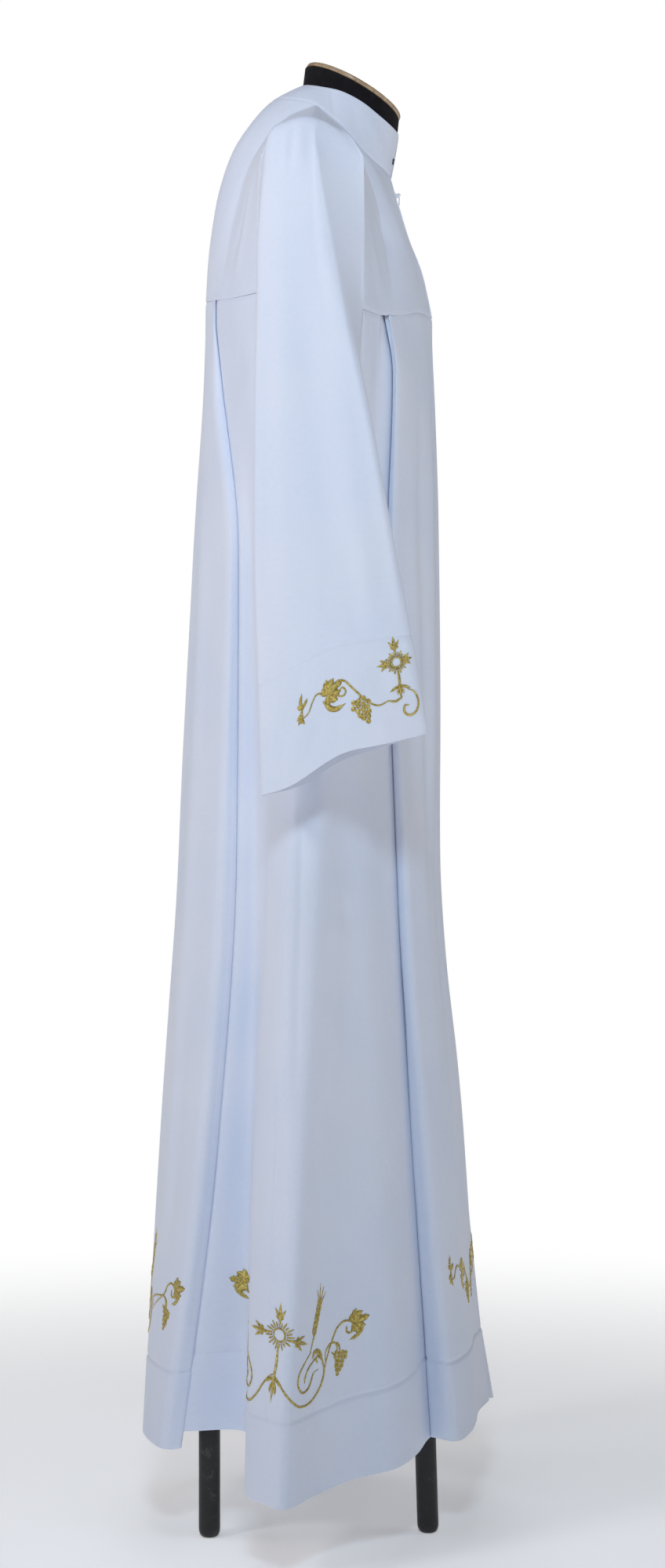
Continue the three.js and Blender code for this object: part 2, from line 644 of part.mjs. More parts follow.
form.points.forEach((p, i) => {
  if (Math.abs(p[2] - torsoBottomZ) < 0.01) bottomIds.push(i);
});
const bottomCentre = formPoints.length;
formPoints.push(new THREE.Vector3(0, 2, torsoBottomZ));
bottomIds.sort((a, b) => Math.atan2(formPoints[a].y, formPoints[a].x)
  - Math.atan2(formPoints[b].y, formPoints[b].x));
bottomIds.forEach((id, k) => {
  formFaces.push(bottomCentre, bottomIds[(k + 1) % bottomIds.length], id);
});

// ---------------------------------------------------------------- materials and assembly
const cloth = new THREE.MeshStandardMaterial({ color: 0xdde3f2, roughness: 0.75, metalness: 0 });
const nylon = new THREE.MeshStandardMaterial({ color: 0xe8ebf4, roughness: 0.5, metalness: 0 });
const jersey = new THREE.MeshStandardMaterial({ color: 0x0d0e11, roughness: 0.9, metalness: 0 });
const wood = new THREE.MeshStandardMaterial({ color: 0xa5835c, roughness: 0.5, metalness: 0 });
const blackPaint = new THREE.MeshStandardMaterial({ color: 0x1d1d1f, roughness: 0.5, metalness: 0.1 });
const darkMetal = new THREE.MeshStandardMaterial({ color: 0x2a2b30, roughness: 0.4, metalness: 0.8 });

const garment = new THREE.Group();
garment.position.set(0, centreShiftY, 0);

function addPiece(name, geometry, material, parent = garment) {
  const piece = new THREE.Mesh(geometry, material);
  piece.name = name;
  parent.add(piece);
  return piece;
}

for (const name of ['collar', 'yoke_front_right', 'yoke_front_left', 'yoke_back']) {
  addPiece(name, upper.wall(name, clothWall, upperOut), cloth);
}
for (const name of ['skirt_front_right', 'skirt_front_left', 'skirt_back']) {
  addPiece(name, skirt.wall(name, clothWall, skirtOut), cloth);
}
for (const name of ['sleeve_right', 'sleeve_left', 'cuff_right', 'cuff_left']) {
  addPiece(name, sleeves.wall(name, clothWall, sleeveOut, isArmhole), cloth);
}

// ---------------------------------------------------------------- zip
// The line of the zip down the centre front, at a depth inside the cloth's outside.
function zipLine(z, depth) {
  const at = (height) => {
    if (height < 1267) return skirtSection(0, height)[0];
    let u = 0;
    for (const k of steps(400)) if (along(centreFront, k)[2] <= height) u = k;
    return along(centreFront, u)[0];
  };
  const slope = (at(z + 4) - at(z - 4)) / 8;
  const length = Math.hypot(1, slope);
  return { f: at(z) - depth / length, z: z + (depth * slope) / length };
}

const tapeStops = [zipTopZ, 1395, 1375, 1355, 1335, 1315, 1295, 1275, 1255, 1225, 1180, 1120, 1050,
  zipBottomZ];
for (const side of [1, -1]) {
  const label = side > 0 ? 'right' : 'left';
  const points = [];
  for (const z of tapeStops) {
    for (const [s, depth] of [[0.6, 2.1], [zipTapeWidth, 3.4], [zipTapeWidth, 3.4 + zipTapeThick],
      [0.6, 2.1 + zipTapeThick]]) {
      const p = zipLine(z, depth);
      points.push(new THREE.Vector3(-side * s, -p.f, p.z));
    }
  }
  const index = [];
  const quad = (a, b, c, d) => {
    const order = side > 0 ? [a, b, c, a, c, d] : [c, b, a, d, c, a];
    index.push(...order);
  };
  for (let r = 0; r + 1 < tapeStops.length; r += 1) {
    for (let k = 0; k < 4; k += 1) {
      quad(r * 4 + k, r * 4 + ((k + 1) % 4), r * 4 + 4 + ((k + 1) % 4), r * 4 + 4 + k);
    }
  }
  const end = (tapeStops.length - 1) * 4;
  quad(3, 2, 1, 0);
  quad(end, end + 1, end + 2, end + 3);
  addPiece(`zip_tape_${label}`, meshGeometry(points, index), nylon);
}

function asSolid(geometry) {
  const plain = geometry.clone();
  plain.deleteAttribute('normal');
  plain.deleteAttribute('uv');
  const merged = BufferGeometryUtils.mergeVertices(plain, 1e-5);
  return new wasm.Manifold(new wasm.Mesh({
    numProp: 3,
    vertProperties: new Float32Array(merged.attributes.position.array),
    triVerts: new Uint32Array(merged.index.array),
  }));
}

function asGeometry(solid) {
  const mesh = solid.getMesh();
  const geometry = new THREE.BufferGeometry();
  geometry.setAttribute('position', new THREE.BufferAttribute(mesh.vertProperties, 3));
  geometry.setIndex(new THREE.BufferAttribute(mesh.triVerts, 1));
  return geometry;
}

// The slider sits on the teeth near the collar: a plate with an eye that carries the pull.
const sliderZ = 1397;
const eyeHole = 0.8;
const eyeRadius = 1.55;
const eyeReach = 4.3;
const eyeWidth = 1.6;
const sliderSize = { width: 5.4, height: 8.5, thick: 1.6 };
const pullSize = { width: 4.2, height: 11, thick: 1.0, windowWidth: 2.3, windowHeight: 2.6 };
const sliderAt = zipLine(sliderZ, 0);
const zipSlope = Math.atan2(zipLine(sliderZ - 6, 0).f - zipLine(sliderZ + 6, 0).f, 12);

const eyeShape = new THREE.Shape();
eyeShape.moveTo(-0.6, -eyeRadius);
eyeShape.lineTo(eyeReach, -eyeRadius);
eyeShape.absarc(eyeReach, 0, eyeRadius, -Math.PI / 2, Math.PI / 2, false);
eyeShape.lineTo(-0.6, eyeRadius);
eyeShape.closePath();
const eyeOpening = new THREE.Path();
eyeOpening.absarc(eyeReach, 0, eyeHole, 0, Math.PI * 2, true);
eyeShape.holes.push(eyeOpening);
// Shapes are drawn with x pointing away from the cloth; this stands them across the zip.
const acrossZip = new THREE.Matrix4().makeBasis(new THREE.Vector3(0, -1, 0),
  new THREE.Vector3(0, 0, 1), new THREE.Vector3(-1, 0, 0));
const eye = new THREE.ExtrudeGeometry(eyeShape, { depth: eyeWidth, bevelEnabled: false, curveSegments: 10 });
eye.translate(0, 0, -eyeWidth / 2).applyMatrix4(acrossZip);
const plate = new THREE.BoxGeometry(sliderSize.width, sliderSize.thick, sliderSize.height);
plate.translate(0, 0.2, 0);
const slider = asGeometry(asSolid(plate).add(asSolid(eye)));
const sliderGroup = new THREE.Group();
sliderGroup.position.set(0, -sliderAt.f + 0.3, sliderAt.z);
sliderGroup.rotation.x = -zipSlope;
garment.add(sliderGroup);
addPiece('zip_slider', slider, nylon, sliderGroup);

const pullShape = new THREE.Shape();
const half = pullSize.width / 2;
pullShape.moveTo(-half, 0.5);
pullShape.lineTo(-half + 0.5, -pullSize.height + 1);
pullShape.lineTo(-half + 1.3, -pullSize.height);
pullShape.lineTo(half - 1.3, -pullSize.height);
pullShape.lineTo(half - 0.5, -pullSize.height + 1);
pullShape.lineTo(half, 0.5);
pullShape.closePath();
const window = new THREE.Path();
const wide = pullSize.windowWidth / 2;
window.moveTo(-wide, -0.5);
window.lineTo(wide, -0.5);
window.lineTo(wide, -0.5 - pullSize.windowHeight);
window.lineTo(-wide, -0.5 - pullSize.windowHeight);
window.closePath();
pullShape.holes.push(window);
const pull = new THREE.ExtrudeGeometry(pullShape, { depth: pullSize.thick, bevelEnabled: false });
pull.translate(0, 0, -pullSize.thick / 2).rotateX(Math.PI / 2);
const hinge = new THREE.Vector3(0, -eyeReach, 0)
  .applyEuler(new THREE.Euler(-zipSlope, 0, 0)).add(sliderGroup.position);
const pullPiece = addPiece('zip_pull', pull, nylon);
pullPiece.position.copy(hinge);

// ---------------------------------------------------------------- form, cap and stand
addPiece('form', meshGeometry(formPoints, formFaces), jersey);

const capSegments = 40;
const capRings = [[0, capOverhang - 1], [0.8, capOverhang], [capThick - 1.6, capOverhang],
  [capThick, capOverhang - 1.8]];
const capPoints = [];
for (const [rise, grow] of capRings) {
  for (let k = 0; k < capSegments; k += 1) {
    capPoints.push(neckOval((2 * Math.PI * k) / capSegments, rise, grow));
  }
}
const capIndex = [];
for (let r = 0; r + 1 < capRings.length; r += 1) {
  for (let k = 0; k < capSegments; k += 1) {
    const a = r * capSegments + k;
    const b = r * capSegments + ((k + 1) % capSegments);
    capIndex.push(a, b + capSegments, b, a, a + capSegments, b + capSegments);
  }
}
for (const [ring, flip] of [[0, false], [capRings.length - 1, true]]) {
  const centre = capPoints.length;
  capPoints.push(capPoints[ring * capSegments].clone()
    .add(capPoints[ring * capSegments + capSegments / 2]).multiplyScalar(0.5));
  for (let k = 0; k < capSegments; k += 1) {
    const a = ring * capSegments + k;
    const b = ring * capSegments + ((k + 1) % capSegments);
    capIndex.push(...(flip ? [centre, b, a] : [centre, a, b]));
  }
}
addPiece('neck_cap', meshGeometry(capPoints, capIndex), wood);

function turned(profile, segments) {
  const lathe = new THREE.LatheGeometry(profile.map(([r, z]) => new THREE.Vector2(r, z)), segments);
  return asGeometry(asSolid(lathe.rotateX(Math.PI / 2)));
}
const pole = addPiece('pole', turned([[0, hub.poleEndZ], [poleRadius, hub.poleEndZ],
  [poleRadius, hub.bottomZ], [hub.radius - 2, hub.bottomZ], [hub.radius, hub.bottomZ + 2],
  [hub.radius, hub.topZ - 2], [hub.radius - 2, hub.topZ], [poleRadius, hub.topZ],
  [poleRadius, torsoBottomZ - seamGap], [0, torsoBottomZ - seamGap]], 32), blackPaint);
pole.position.set(0, 2, 0);

// A leg: a bent tube from the side of the hub, out, over and down to a rounded foot.
function legGeometry(leg) {
  const sides = 18;
  const far = Math.hypot(leg.f + 2, leg.s);
  const away = new THREE.Vector3(-leg.s / far, -(leg.f + 2) / far, 0);
  const armZ = (hub.bottomZ + hub.topZ) / 2;
  const stops = [[legTipFlat, 0], [8.6, 1.6], [10.4, 4.6], [legRadius, 9], [legRadius, 60],
    [legRadius, 120], [legRadius, armZ - legBend]]
    .map(([radius, z]) => ({ radius, reach: far, z, turn: 0 }));
  for (const u of steps(6).slice(1)) {
    const turn = (u * Math.PI) / 2;
    stops.push({
      radius: legRadius,
      reach: far - legBend * (1 - Math.cos(turn)),
      z: armZ - legBend + legBend * Math.sin(turn),
      turn,
    });
  }
  stops.push({ radius: legRadius, reach: hub.radius + seamGap, z: armZ, turn: Math.PI / 2 });
  const across = new THREE.Vector3(-away.y, away.x, 0);
  const points = [];
  for (const { radius, reach, z, turn } of stops) {
    const centre = away.clone().multiplyScalar(reach).setZ(z);
    const side = away.clone().multiplyScalar(Math.cos(turn)).setZ(Math.sin(turn));
    const height = Math.min(z, armZ - legBend);
    const share = (reach - hub.radius) / (far - hub.radius);
    centre.y += leg.leanF * height * share;
    for (let k = 0; k < sides; k += 1) {
      const a = (2 * Math.PI * k) / sides;
      points.push(centre.clone().addScaledVector(side, radius * Math.cos(a))
        .addScaledVector(across, radius * Math.sin(a)));
    }
  }
  const index = [];
  const last = (stops.length - 1) * sides;
  for (let r = 0; r < last; r += sides) {
    for (let k = 0; k < sides; k += 1) {
      const n = (k + 1) % sides;
      index.push(r + k, r + n, r + sides + n, r + k, r + sides + n, r + sides + k);
    }
  }
  for (let k = 1; k + 1 < sides; k += 1) {
    index.push(0, k + 1, k, last, last + k, last + k + 1);
  }
  return meshGeometry(points, index);
}
for (const leg of legs) {
  const piece = addPiece(leg.name, legGeometry(leg), blackPaint);
  piece.position.set(0, 2, 0);
}

// A small hook plate near the foot of the collar's right end.
const hookPlate = new THREE.BoxGeometry(4.4, 0.9, 6);
const hook = addPiece('collar_hook', hookPlate, darkMetal);
const hookFoot = along(neckline, 0.03);
const hookHead = along(collarTop, 0.03);
const hookAt = mix(hookFoot, hookHead, 0.34);
hook.position.set(-3.4, -hookAt[0] - 1.45, hookAt[2]);
hook.rotation.x = Math.atan2(hookHead[0] - hookFoot[0], hookHead[2] - hookFoot[2]);

export default garment;
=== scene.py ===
import json
import math

import bmesh
import bpy
import numpy as np
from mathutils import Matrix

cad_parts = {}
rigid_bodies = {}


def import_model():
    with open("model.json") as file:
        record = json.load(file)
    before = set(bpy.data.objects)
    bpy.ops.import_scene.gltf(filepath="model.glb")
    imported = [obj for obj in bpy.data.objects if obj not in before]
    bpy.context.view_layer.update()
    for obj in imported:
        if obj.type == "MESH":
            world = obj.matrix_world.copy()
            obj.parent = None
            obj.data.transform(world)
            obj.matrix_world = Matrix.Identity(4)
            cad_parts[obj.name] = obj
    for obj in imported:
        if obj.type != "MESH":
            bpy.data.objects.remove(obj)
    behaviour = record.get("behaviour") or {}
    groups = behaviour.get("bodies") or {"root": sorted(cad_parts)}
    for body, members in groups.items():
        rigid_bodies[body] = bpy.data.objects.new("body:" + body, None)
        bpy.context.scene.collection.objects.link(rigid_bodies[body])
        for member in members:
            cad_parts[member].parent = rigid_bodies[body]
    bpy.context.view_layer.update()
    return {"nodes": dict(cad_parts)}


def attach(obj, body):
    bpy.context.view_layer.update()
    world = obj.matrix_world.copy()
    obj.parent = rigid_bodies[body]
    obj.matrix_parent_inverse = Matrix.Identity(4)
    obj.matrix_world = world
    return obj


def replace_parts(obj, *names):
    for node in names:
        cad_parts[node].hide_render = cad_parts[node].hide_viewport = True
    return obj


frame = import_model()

# ------------------------------------------------------------------ room, lamps and camera
# A pale floor in an open white room. A small cool lamp stands high on the wearer's right and a
# small warm one behind it, so that the folds show, and wide lamps fill the shadows all round.
# The camera looks at the right side, level, from 2.5 m away.
view = bpy.context.scene.view_settings
view.view_transform = 'Standard'
view.look = 'None'

floor_half = 30
floor_corners = [(-floor_half, -floor_half, 0), (floor_half, -floor_half, 0),
                 (floor_half, floor_half, 0), (-floor_half, floor_half, 0)]
floor_mesh = bpy.data.meshes.new('floor')
floor_mesh.from_pydata(floor_corners, [], [(0, 1, 2, 3)])
floor = bpy.data.objects.new('floor', floor_mesh)
bpy.context.collection.objects.link(floor)

white = (1.0, 1.0, 1.0, 1)
room = bpy.data.worlds.new('room')
room.use_nodes = True
room_light = room.node_tree.nodes['Background']
room_light.inputs['Color'].default_value = (0.72, 0.84, 1.0, 1)
room_light.inputs['Strength'].default_value = 0.05
room_wall = room.node_tree.nodes.new('ShaderNodeBackground')
room_wall.inputs['Color'].default_value = white
room_wall.inputs['Strength'].default_value = 1.0
room_ray = room.node_tree.nodes.new('ShaderNodeLightPath')
room_mix = room.node_tree.nodes.new('ShaderNodeMixShader')
room.node_tree.links.new(room_ray.outputs['Is Camera Ray'], room_mix.inputs['Fac'])
room.node_tree.links.new(room_light.outputs[0], room_mix.inputs[1])
room.node_tree.links.new(room_wall.outputs[0], room_mix.inputs[2])
room.node_tree.links.new(room_mix.outputs[0], room.node_tree.nodes['World Output'].inputs['Surface'])
bpy.context.scene.world = room


def lamp(name, place, aim, size, watts, colour):
    """A square soft lamp at a place, turned to face a point."""
    light = bpy.data.lights.new(name, 'AREA')
    light.size = size
    light.energy = watts
    light.color = colour
    holder = bpy.data.objects.new(name, light)
    way = np.array(aim, float) - np.array(place, float)
    across = math.hypot(way[0], way[1])
    holder.rotation_euler = (math.pi / 2 + math.atan2(way[2], across), 0, math.atan2(-way[0], way[1]))
    holder.location = place
    bpy.context.collection.objects.link(holder)


lamp('key_lamp', (-2.45, -0.3, 2.15), (0, 0, 0.9), 0.35, 20, (0.7, 0.86, 1.0))
lamp('side_lamp', (-1.9, 1.7, 2.3), (0, 0, 1.0), 0.5, 15, (1.0, 0.91, 0.9))
lamp('top_lamp', (-0.7, 0.1, 3.1), (-0.1, 0, 1.2), 0.7, 6.5, (0.95, 0.96, 1.0))
lamp('front_lamp', (0.3, -2.9, 1.9), (0, 0, 0.8), 1.6, 11, (1.0, 0.9, 0.84))
lamp('back_lamp', (-0.3, 3.0, 2.2), (0, 0, 1.0), 1.6, 14, (1.0, 0.9, 0.85))
lamp('far_lamp', (2.9, 0.4, 2.3), (0, 0, 0.9), 1.6, 14, (0.95, 0.97, 1.0))

lens = bpy.data.cameras.new('camera')
lens.lens = 54
lens.sensor_width = 36
lens.shift_y = 0.075
camera = bpy.data.objects.new('camera', lens)
camera.location = (-2.4757, -0.3673, 0.65)
camera.rotation_euler = (math.radians(90), 0, math.radians(-82))
bpy.context.collection.objects.link(camera)
bpy.context.scene.camera = camera


class Tone:
    """A value or colour in a tree of nodes. Sums on values add their Math nodes."""

    def __init__(self, tree, socket=None):
        self.tree = tree
        self.socket = socket

    def node(self, kind, settings=None, inputs=None, out=0):
        """Adds a node of a kind, with its settings and sockets, and gives one of its outputs."""
        made = self.tree.nodes.new(kind)
        for key, value in (settings or {}).items():
            if key == 'stops':
                while len(made.color_ramp.elements) < len(value):
                    made.color_ramp.elements.new(1)
                for element, (place, colour) in zip(made.color_ramp.elements, value):
                    element.position = place
                    element.color = (*colour, 1)
            else:
                setattr(made, key, value)
        for key, value in (inputs or {}).items():
            if isinstance(value, Tone):
                self.tree.links.new(value.socket, made.inputs[key])
            else:
                made.inputs[key].default_value = value
        return Tone(self.tree, made.outputs[out])

    def sums(self, operation, first, second):
        return self.node('ShaderNodeMath', {'operation': operation}, {0: first, 1: second})

    def __add__(self, other):
        return self.sums('ADD', self, other)

    def __radd__(self, other):
        return self.sums('ADD', other, self)

    def __mul__(self, other):
        return self.sums('MULTIPLY', self, other)

    def __rmul__(self, other):
        return self.sums('MULTIPLY', other, self)

    def place(self):
        """Places on the object, in metres."""
        return self.node('ShaderNodeTexCoord', out=3)

    def noise(self, scale, detail, **more):
        """Cloudy values over these places."""
        return self.node('ShaderNodeTexNoise', {}, {'Vector': self, 'Scale': scale, 'Detail': detail, **more})

    def waves(self, direction, scale, distortion, **more):
        """Even stripes over these places, which run across a direction."""
        return self.node('ShaderNodeTexWave', {'bands_direction': direction}, {
            'Vector': self, 'Scale': scale, 'Distortion': distortion, **more})

    def ramp(self, *stops):
        """The colour for this value, between stops of a value and a colour."""
        return self.node('ShaderNodeValToRGB', {'stops': stops}, {0: self})

    def bump(self, strength, distance, **under):
        """Relief from this value, as high as a distance in metres."""
        return self.node('ShaderNodeBump', {}, {
            'Height': self, 'Strength': strength, 'Distance': distance, **under})


def finish(name, feeds, **constants):
    """A material whose fixed values are set on its shader. feeds adds what changes over it."""
    material = bpy.data.materials.new(name)
    material.use_nodes = True
    tree = material.node_tree
    shader = tree.nodes['Principled BSDF']
    for socket, value in constants.items():
        shader.inputs[socket.replace('_', ' ')].default_value = value
    for socket, tone in feeds(Tone(tree)).items():
        tree.links.new(tone.socket, shader.inputs[socket])
    return material


def floor_feeds(start):
    grain = start.place().noise(1.3, 3.0)
    return {'Base Color': grain.ramp((0.3, (0.9, 0.91, 0.93)), (0.7, (0.93, 0.94, 0.96)))}


floor_paint = finish('pale_floor', floor_feeds, Roughness=0.9, Emission_Strength=0.32, Emission_Color=white)
floor_tree = floor_paint.node_tree
floor_start = Tone(floor_tree)
floor_reach = floor_start.node('ShaderNodeVectorMath', {'operation': 'LENGTH'}, {
    0: floor_start.place()}, out=1)
floor_fade = floor_start.node('ShaderNodeMapRange', {'interpolation_type': 'SMOOTHSTEP'}, {
    'Value': floor_reach, 'From Min': 0.45, 'From Max': 2.0})
floor_glow = floor_start.node('ShaderNodeEmission', {}, {'Color': white})
floor_shader = Tone(floor_tree, floor_tree.nodes['Principled BSDF'].outputs[0])
floor_mixed = floor_start.node('ShaderNodeMixShader', {}, {0: floor_fade, 1: floor_shader, 2: floor_glow})
floor_tree.links.new(floor_mixed.socket, floor_tree.nodes['Material Output'].inputs[0])
floor_mesh.materials.append(floor_paint)

# ------------------------------------------------------------------ stand
# A steel pole in a hub, with three bent tube legs, all in black paint that is rubbed and
# mottled from use. The legs end in rounded feet with a small flat.

# Places are in millimetres, forward, sideways and up from the form's middle, until world() or
# centre_shift brings them into the object's own frame.
centre_shift = -5.342
pole_forward, pole_y = -2, 2 + centre_shift
pole_radius, hub_radius = 16, 27
leg_radius, leg_bend, bend_start = 11, 72, 180


def shown(name, mesh, material, body='alb_on_form'):
    """A smooth piece of one material from its mesh. It rides on its body."""
    mesh.polygons.foreach_set('use_smooth', [True] * len(mesh.polygons))
    mesh.materials.clear()
    mesh.materials.append(material)
    made = bpy.data.objects.new(name, mesh)
    bpy.context.collection.objects.link(made)
    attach(made, body)
    return made


def piece(name, points, faces, material, slot, uv=None, body='alb_on_form'):
    """A piece from points in millimetres and its faces."""
    mesh = bpy.data.meshes.new(name)
    mesh.from_pydata((np.asarray(points, float) / 1000).tolist(), [], [list(f) for f in faces])
    if uv is not None:
        layer = mesh.uv_layers.new(name='thread')
        layer.data.foreach_set('uv', np.asarray(uv, float).reshape(-1))
    return shown(name, mesh, material, body)


def outwards(made, crease=None):
    """Turns a closed body's faces outwards, and keeps edges sharper than the crease angle."""
    work = bmesh.new()
    work.from_mesh(made.data)
    bmesh.ops.recalc_face_normals(work, faces=work.faces)
    work.to_mesh(made.data)
    work.free()
    if crease:
        made.data.set_sharp_from_angle(angle=math.radians(crease))
    return made


def angles_round(sides):
    """Angles at even steps round a circle."""
    return np.linspace(0, 2 * np.pi, sides + 1)[:-1]


def stacked(rings):
    """Points and faces of a closed body skinned over a stack of rings."""
    rings = np.asarray(rings, float)
    count, sides = rings.shape[:2]
    points = np.concatenate([rings.reshape(-1, 3), rings[:1].mean(1), rings[-1:].mean(1)])
    around = [(k, (k + 1) % sides) for k in range(sides)]
    faces = [(r * sides + a, r * sides + b, (r + 1) * sides + b, (r + 1) * sides + a)
             for r in range(count - 1) for a, b in around]
    faces += [(count * sides, b, a) for a, b in around]
    faces += [(count * sides + 1, (count - 1) * sides + a, (count - 1) * sides + b) for a, b in around]
    return points, faces


def paint_feeds(start):
    blotch = start.place().noise(60.0, 6.0, Roughness=0.65)
    speck = start.place().noise(420.0, 3.0)
    worn = blotch * 0.75 + speck * 0.25
    colour = worn.ramp((0.42, (0.008, 0.008, 0.009)), (0.56, (0.016, 0.015, 0.016)),
                       (0.66, (0.06, 0.055, 0.052)))
    return {'Base Color': colour, 'Roughness': worn * 0.7 + 0.12, 'Normal': worn.bump(0.35, 0.0006)}


stand_paint = finish('stand_paint', paint_feeds, Metallic=0.15)

turn = angles_round(64)
pole_profile = [(pole_radius, 214), (pole_radius, 222), (24.6, 222), (26.3, 222.6), (hub_radius, 224.4),
                (hub_radius, 240), (26.4, 241), (26.4, 263), (hub_radius, 264), (hub_radius, 279.6),
                (26.3, 281.4), (24.6, 282), (16.5, 282), (pole_radius, 283), (pole_radius, 500),
                (pole_radius, 721.6)]
pole_rings = [np.stack([r * np.cos(turn), pole_y + r * np.sin(turn), np.full(len(turn), z)], -1)
              for r, z in pole_profile]
pole = outwards(piece('stand_pole', *stacked(pole_rings), stand_paint, 'stand_paint'), 40)
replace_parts(pole, 'pole')

foot_profile = [(5, 0), (7.2, 0.5), (8.8, 1.7), (10.1, 4), (10.8, 6.8)]
for leg_name, forward, out, lean in [('leg_back', -98, 108, 0), ('leg_front', 122, 60, 0.03),
                                     ('leg_far', -28, -140, 0)]:
    far = math.hypot(forward - pole_forward, out)
    away = np.array([-out / far, -(forward - pole_forward) / far, 0])
    across = np.array([-away[1], away[0], 0])
    stops = [(radius, far, z, 0) for radius, z in foot_profile]
    stops += [(leg_radius, far, z, 0) for z in (9.5, 60, 120, bend_start)]
    for bend in np.linspace(0, np.pi / 2, 15)[1:]:
        stops.append((leg_radius, far - leg_bend * (1 - math.cos(bend)),
                      bend_start + leg_bend * math.sin(bend), bend))
    stops.append((leg_radius, hub_radius + 0.3, bend_start + leg_bend, np.pi / 2))
    leg_rings = []
    for radius, reach, z, bend in stops:
        swing = lean * min(z, bend_start) * (reach - hub_radius) / (far - hub_radius)
        middle = away * reach + [0, pole_y + swing, z]
        side = away * math.cos(bend) + np.array([0, 0, math.sin(bend)])
        leg_rings.append([middle + side * radius * math.cos(a) + across * radius * math.sin(a)
                          for a in angles_round(32)])
    leg = outwards(piece('stand_' + leg_name, *stacked(leg_rings), stand_paint, 'stand_paint'), 50)
    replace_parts(leg, leg_name)

# ------------------------------------------------------------------ dress form
# A padded bust form in fine black jersey, cut off at the arms and below the hips, with a neck
# that leans forwards. The jersey is drawn up tight over the neck and tucked under its cap.
# Forward, sideways and height along one half, from the front to the back.
neckline = [
    [76, 2.5, 1417], [72, 28, 1417.5], [63, 52, 1421], [50, 70, 1432], [33, 79, 1450],
    [8, 79, 1471], [-14, 72, 1480], [-33, 57, 1487], [-48, 31, 1492], [-54, 0, 1494],
]
collar_top = [
    [85, 2.5, 1462], [81, 22, 1463], [70, 41, 1469], [53, 55, 1480], [32, 61.5, 1490],
    [10, 58, 1497], [-1, 50.5, 1501.5], [-10, 39, 1506], [-17, 20, 1510.5], [-20, 0, 1513],
]


def curve(p0, p1, p2, p3, u):
    """The point at u between p1 and p2 of a smooth curve through four points."""
    return 0.5 * (2 * p1 + (p2 - p0) * u + (2 * p0 - 5 * p1 + 4 * p2 - p3) * u ** 2
                  + (3 * p1 - p0 - 3 * p2 + p3) * u ** 3)


def along(rows, t):
    """Points of a smooth curve through rows, at t from 0 to 1."""
    rows = np.asarray(rows, float)
    last = len(rows) - 1
    x = np.clip(np.asarray(t, float), 0, 1) * last
    i = np.minimum(x.astype(int), last - 1)
    u = (x - i).reshape(x.shape + (1,) * (rows.ndim - 1))
    first = (i == 0).reshape(u.shape)
    final = (i + 2 > last).reshape(u.shape)
    p1, p2 = rows[i], rows[i + 1]
    p0 = np.where(first, 2 * p1 - p2, rows[np.maximum(i - 1, 0)])
    p3 = np.where(final, 2 * p2 - p1, rows[np.minimum(i + 2, last)])
    return curve(p0, p1, p2, p3, u)


def world(points, side):
    """From forward, sideways and height to the stand's own frame. Side 1 is the wearer's right."""
    points = np.asarray(points, float)
    return np.stack([-side * points[..., 1], -points[..., 0] + centre_shift, points[..., 2]], -1)


neck_lean = math.radians(27.9)
neck_length, neck_width = 56.2, 59.2
neck_forward, neck_height = 35.2, 1506


def neck_oval(angle, rise, grow=0.0):
    """Points of the neck's leaning oval, at angles from straight ahead."""
    a = (neck_length + grow) * np.cos(angle)
    b = (neck_width + grow) * np.sin(angle)
    forward = neck_forward + a * math.cos(neck_lean) + rise * math.sin(neck_lean)
    height = neck_height - a * math.sin(neck_lean) + rise * math.cos(neck_lean)
    return world(np.stack([forward, b, height], -1), 1)


def neck_half(side, t):
    """Rings of the neck beside one half of the collar, foot to cap."""
    foot, head = world(along(neckline, t), side), world(along(collar_top, t), side)
    low_middle = np.array([0, -22 + centre_shift, 1471])
    high_middle = np.array([0, -32.5 + centre_shift, 1487.5])

    def inside(edge, middle, depth):
        way = middle - edge
        return edge + way / np.linalg.norm(way, axis=-1, keepdims=True) * depth

    from_middle = head - high_middle
    ahead = -from_middle[:, 1] * math.cos(neck_lean) - from_middle[:, 2] * math.sin(neck_lean)
    angle = side * np.arctan2(np.abs(head[:, 0]), ahead)
    angle[0], angle[-1] = 0, side * np.pi
    rings = [inside(foot, low_middle, 6.5), inside((foot + head) / 2, (low_middle + high_middle) / 2, 3.4),
             inside(head, high_middle, 2.2), neck_oval(angle, -0.6)]
    for ring in rings[:3]:
        ring[0, 0] = ring[-1, 0] = 0
    return along(np.array(rings), np.linspace(0, 1, 22))


half_turn = np.linspace(0, 1, 49)
right_neck, left_neck = neck_half(1, half_turn), neck_half(-1, half_turn)
neck_rings = np.concatenate([right_neck, left_neck[:, -2:0:-1]], axis=1)


def jersey_feeds(start):
    rib = start.place().waves('DIAGONAL', 420.0, 0.4)
    lint = start.place().noise(130.0, 4.0)
    colour = (lint * 0.7 + rib * 0.3).ramp((0.3, (0.003, 0.003, 0.004)), (0.75, (0.013, 0.012, 0.015)))
    return {'Base Color': colour, 'Roughness': lint * 0.2 + 0.75, 'Normal': (rib + lint).bump(0.3, 0.0004)}


black_jersey = finish('black_jersey', jersey_feeds, Sheen_Weight=0.02, Sheen_Roughness=0.5,
                     Specular_IOR_Level=0.12)
outwards(piece('form_neck', *stacked(neck_rings), black_jersey, 'black_jersey'), 60)

torso_copy = bmesh.new()
torso_copy.from_mesh(frame['nodes']['form'].data)
bmesh.ops.remove_doubles(torso_copy, verts=torso_copy.verts, dist=1e-5)
torso_mesh = bpy.data.meshes.new('form_torso')
torso_copy.to_mesh(torso_mesh)
torso_copy.free()
form_torso = shown('form_torso', torso_mesh, black_jersey)
torso_mesh.set_sharp_from_angle(angle=math.radians(55))
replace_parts(form_torso, 'form')

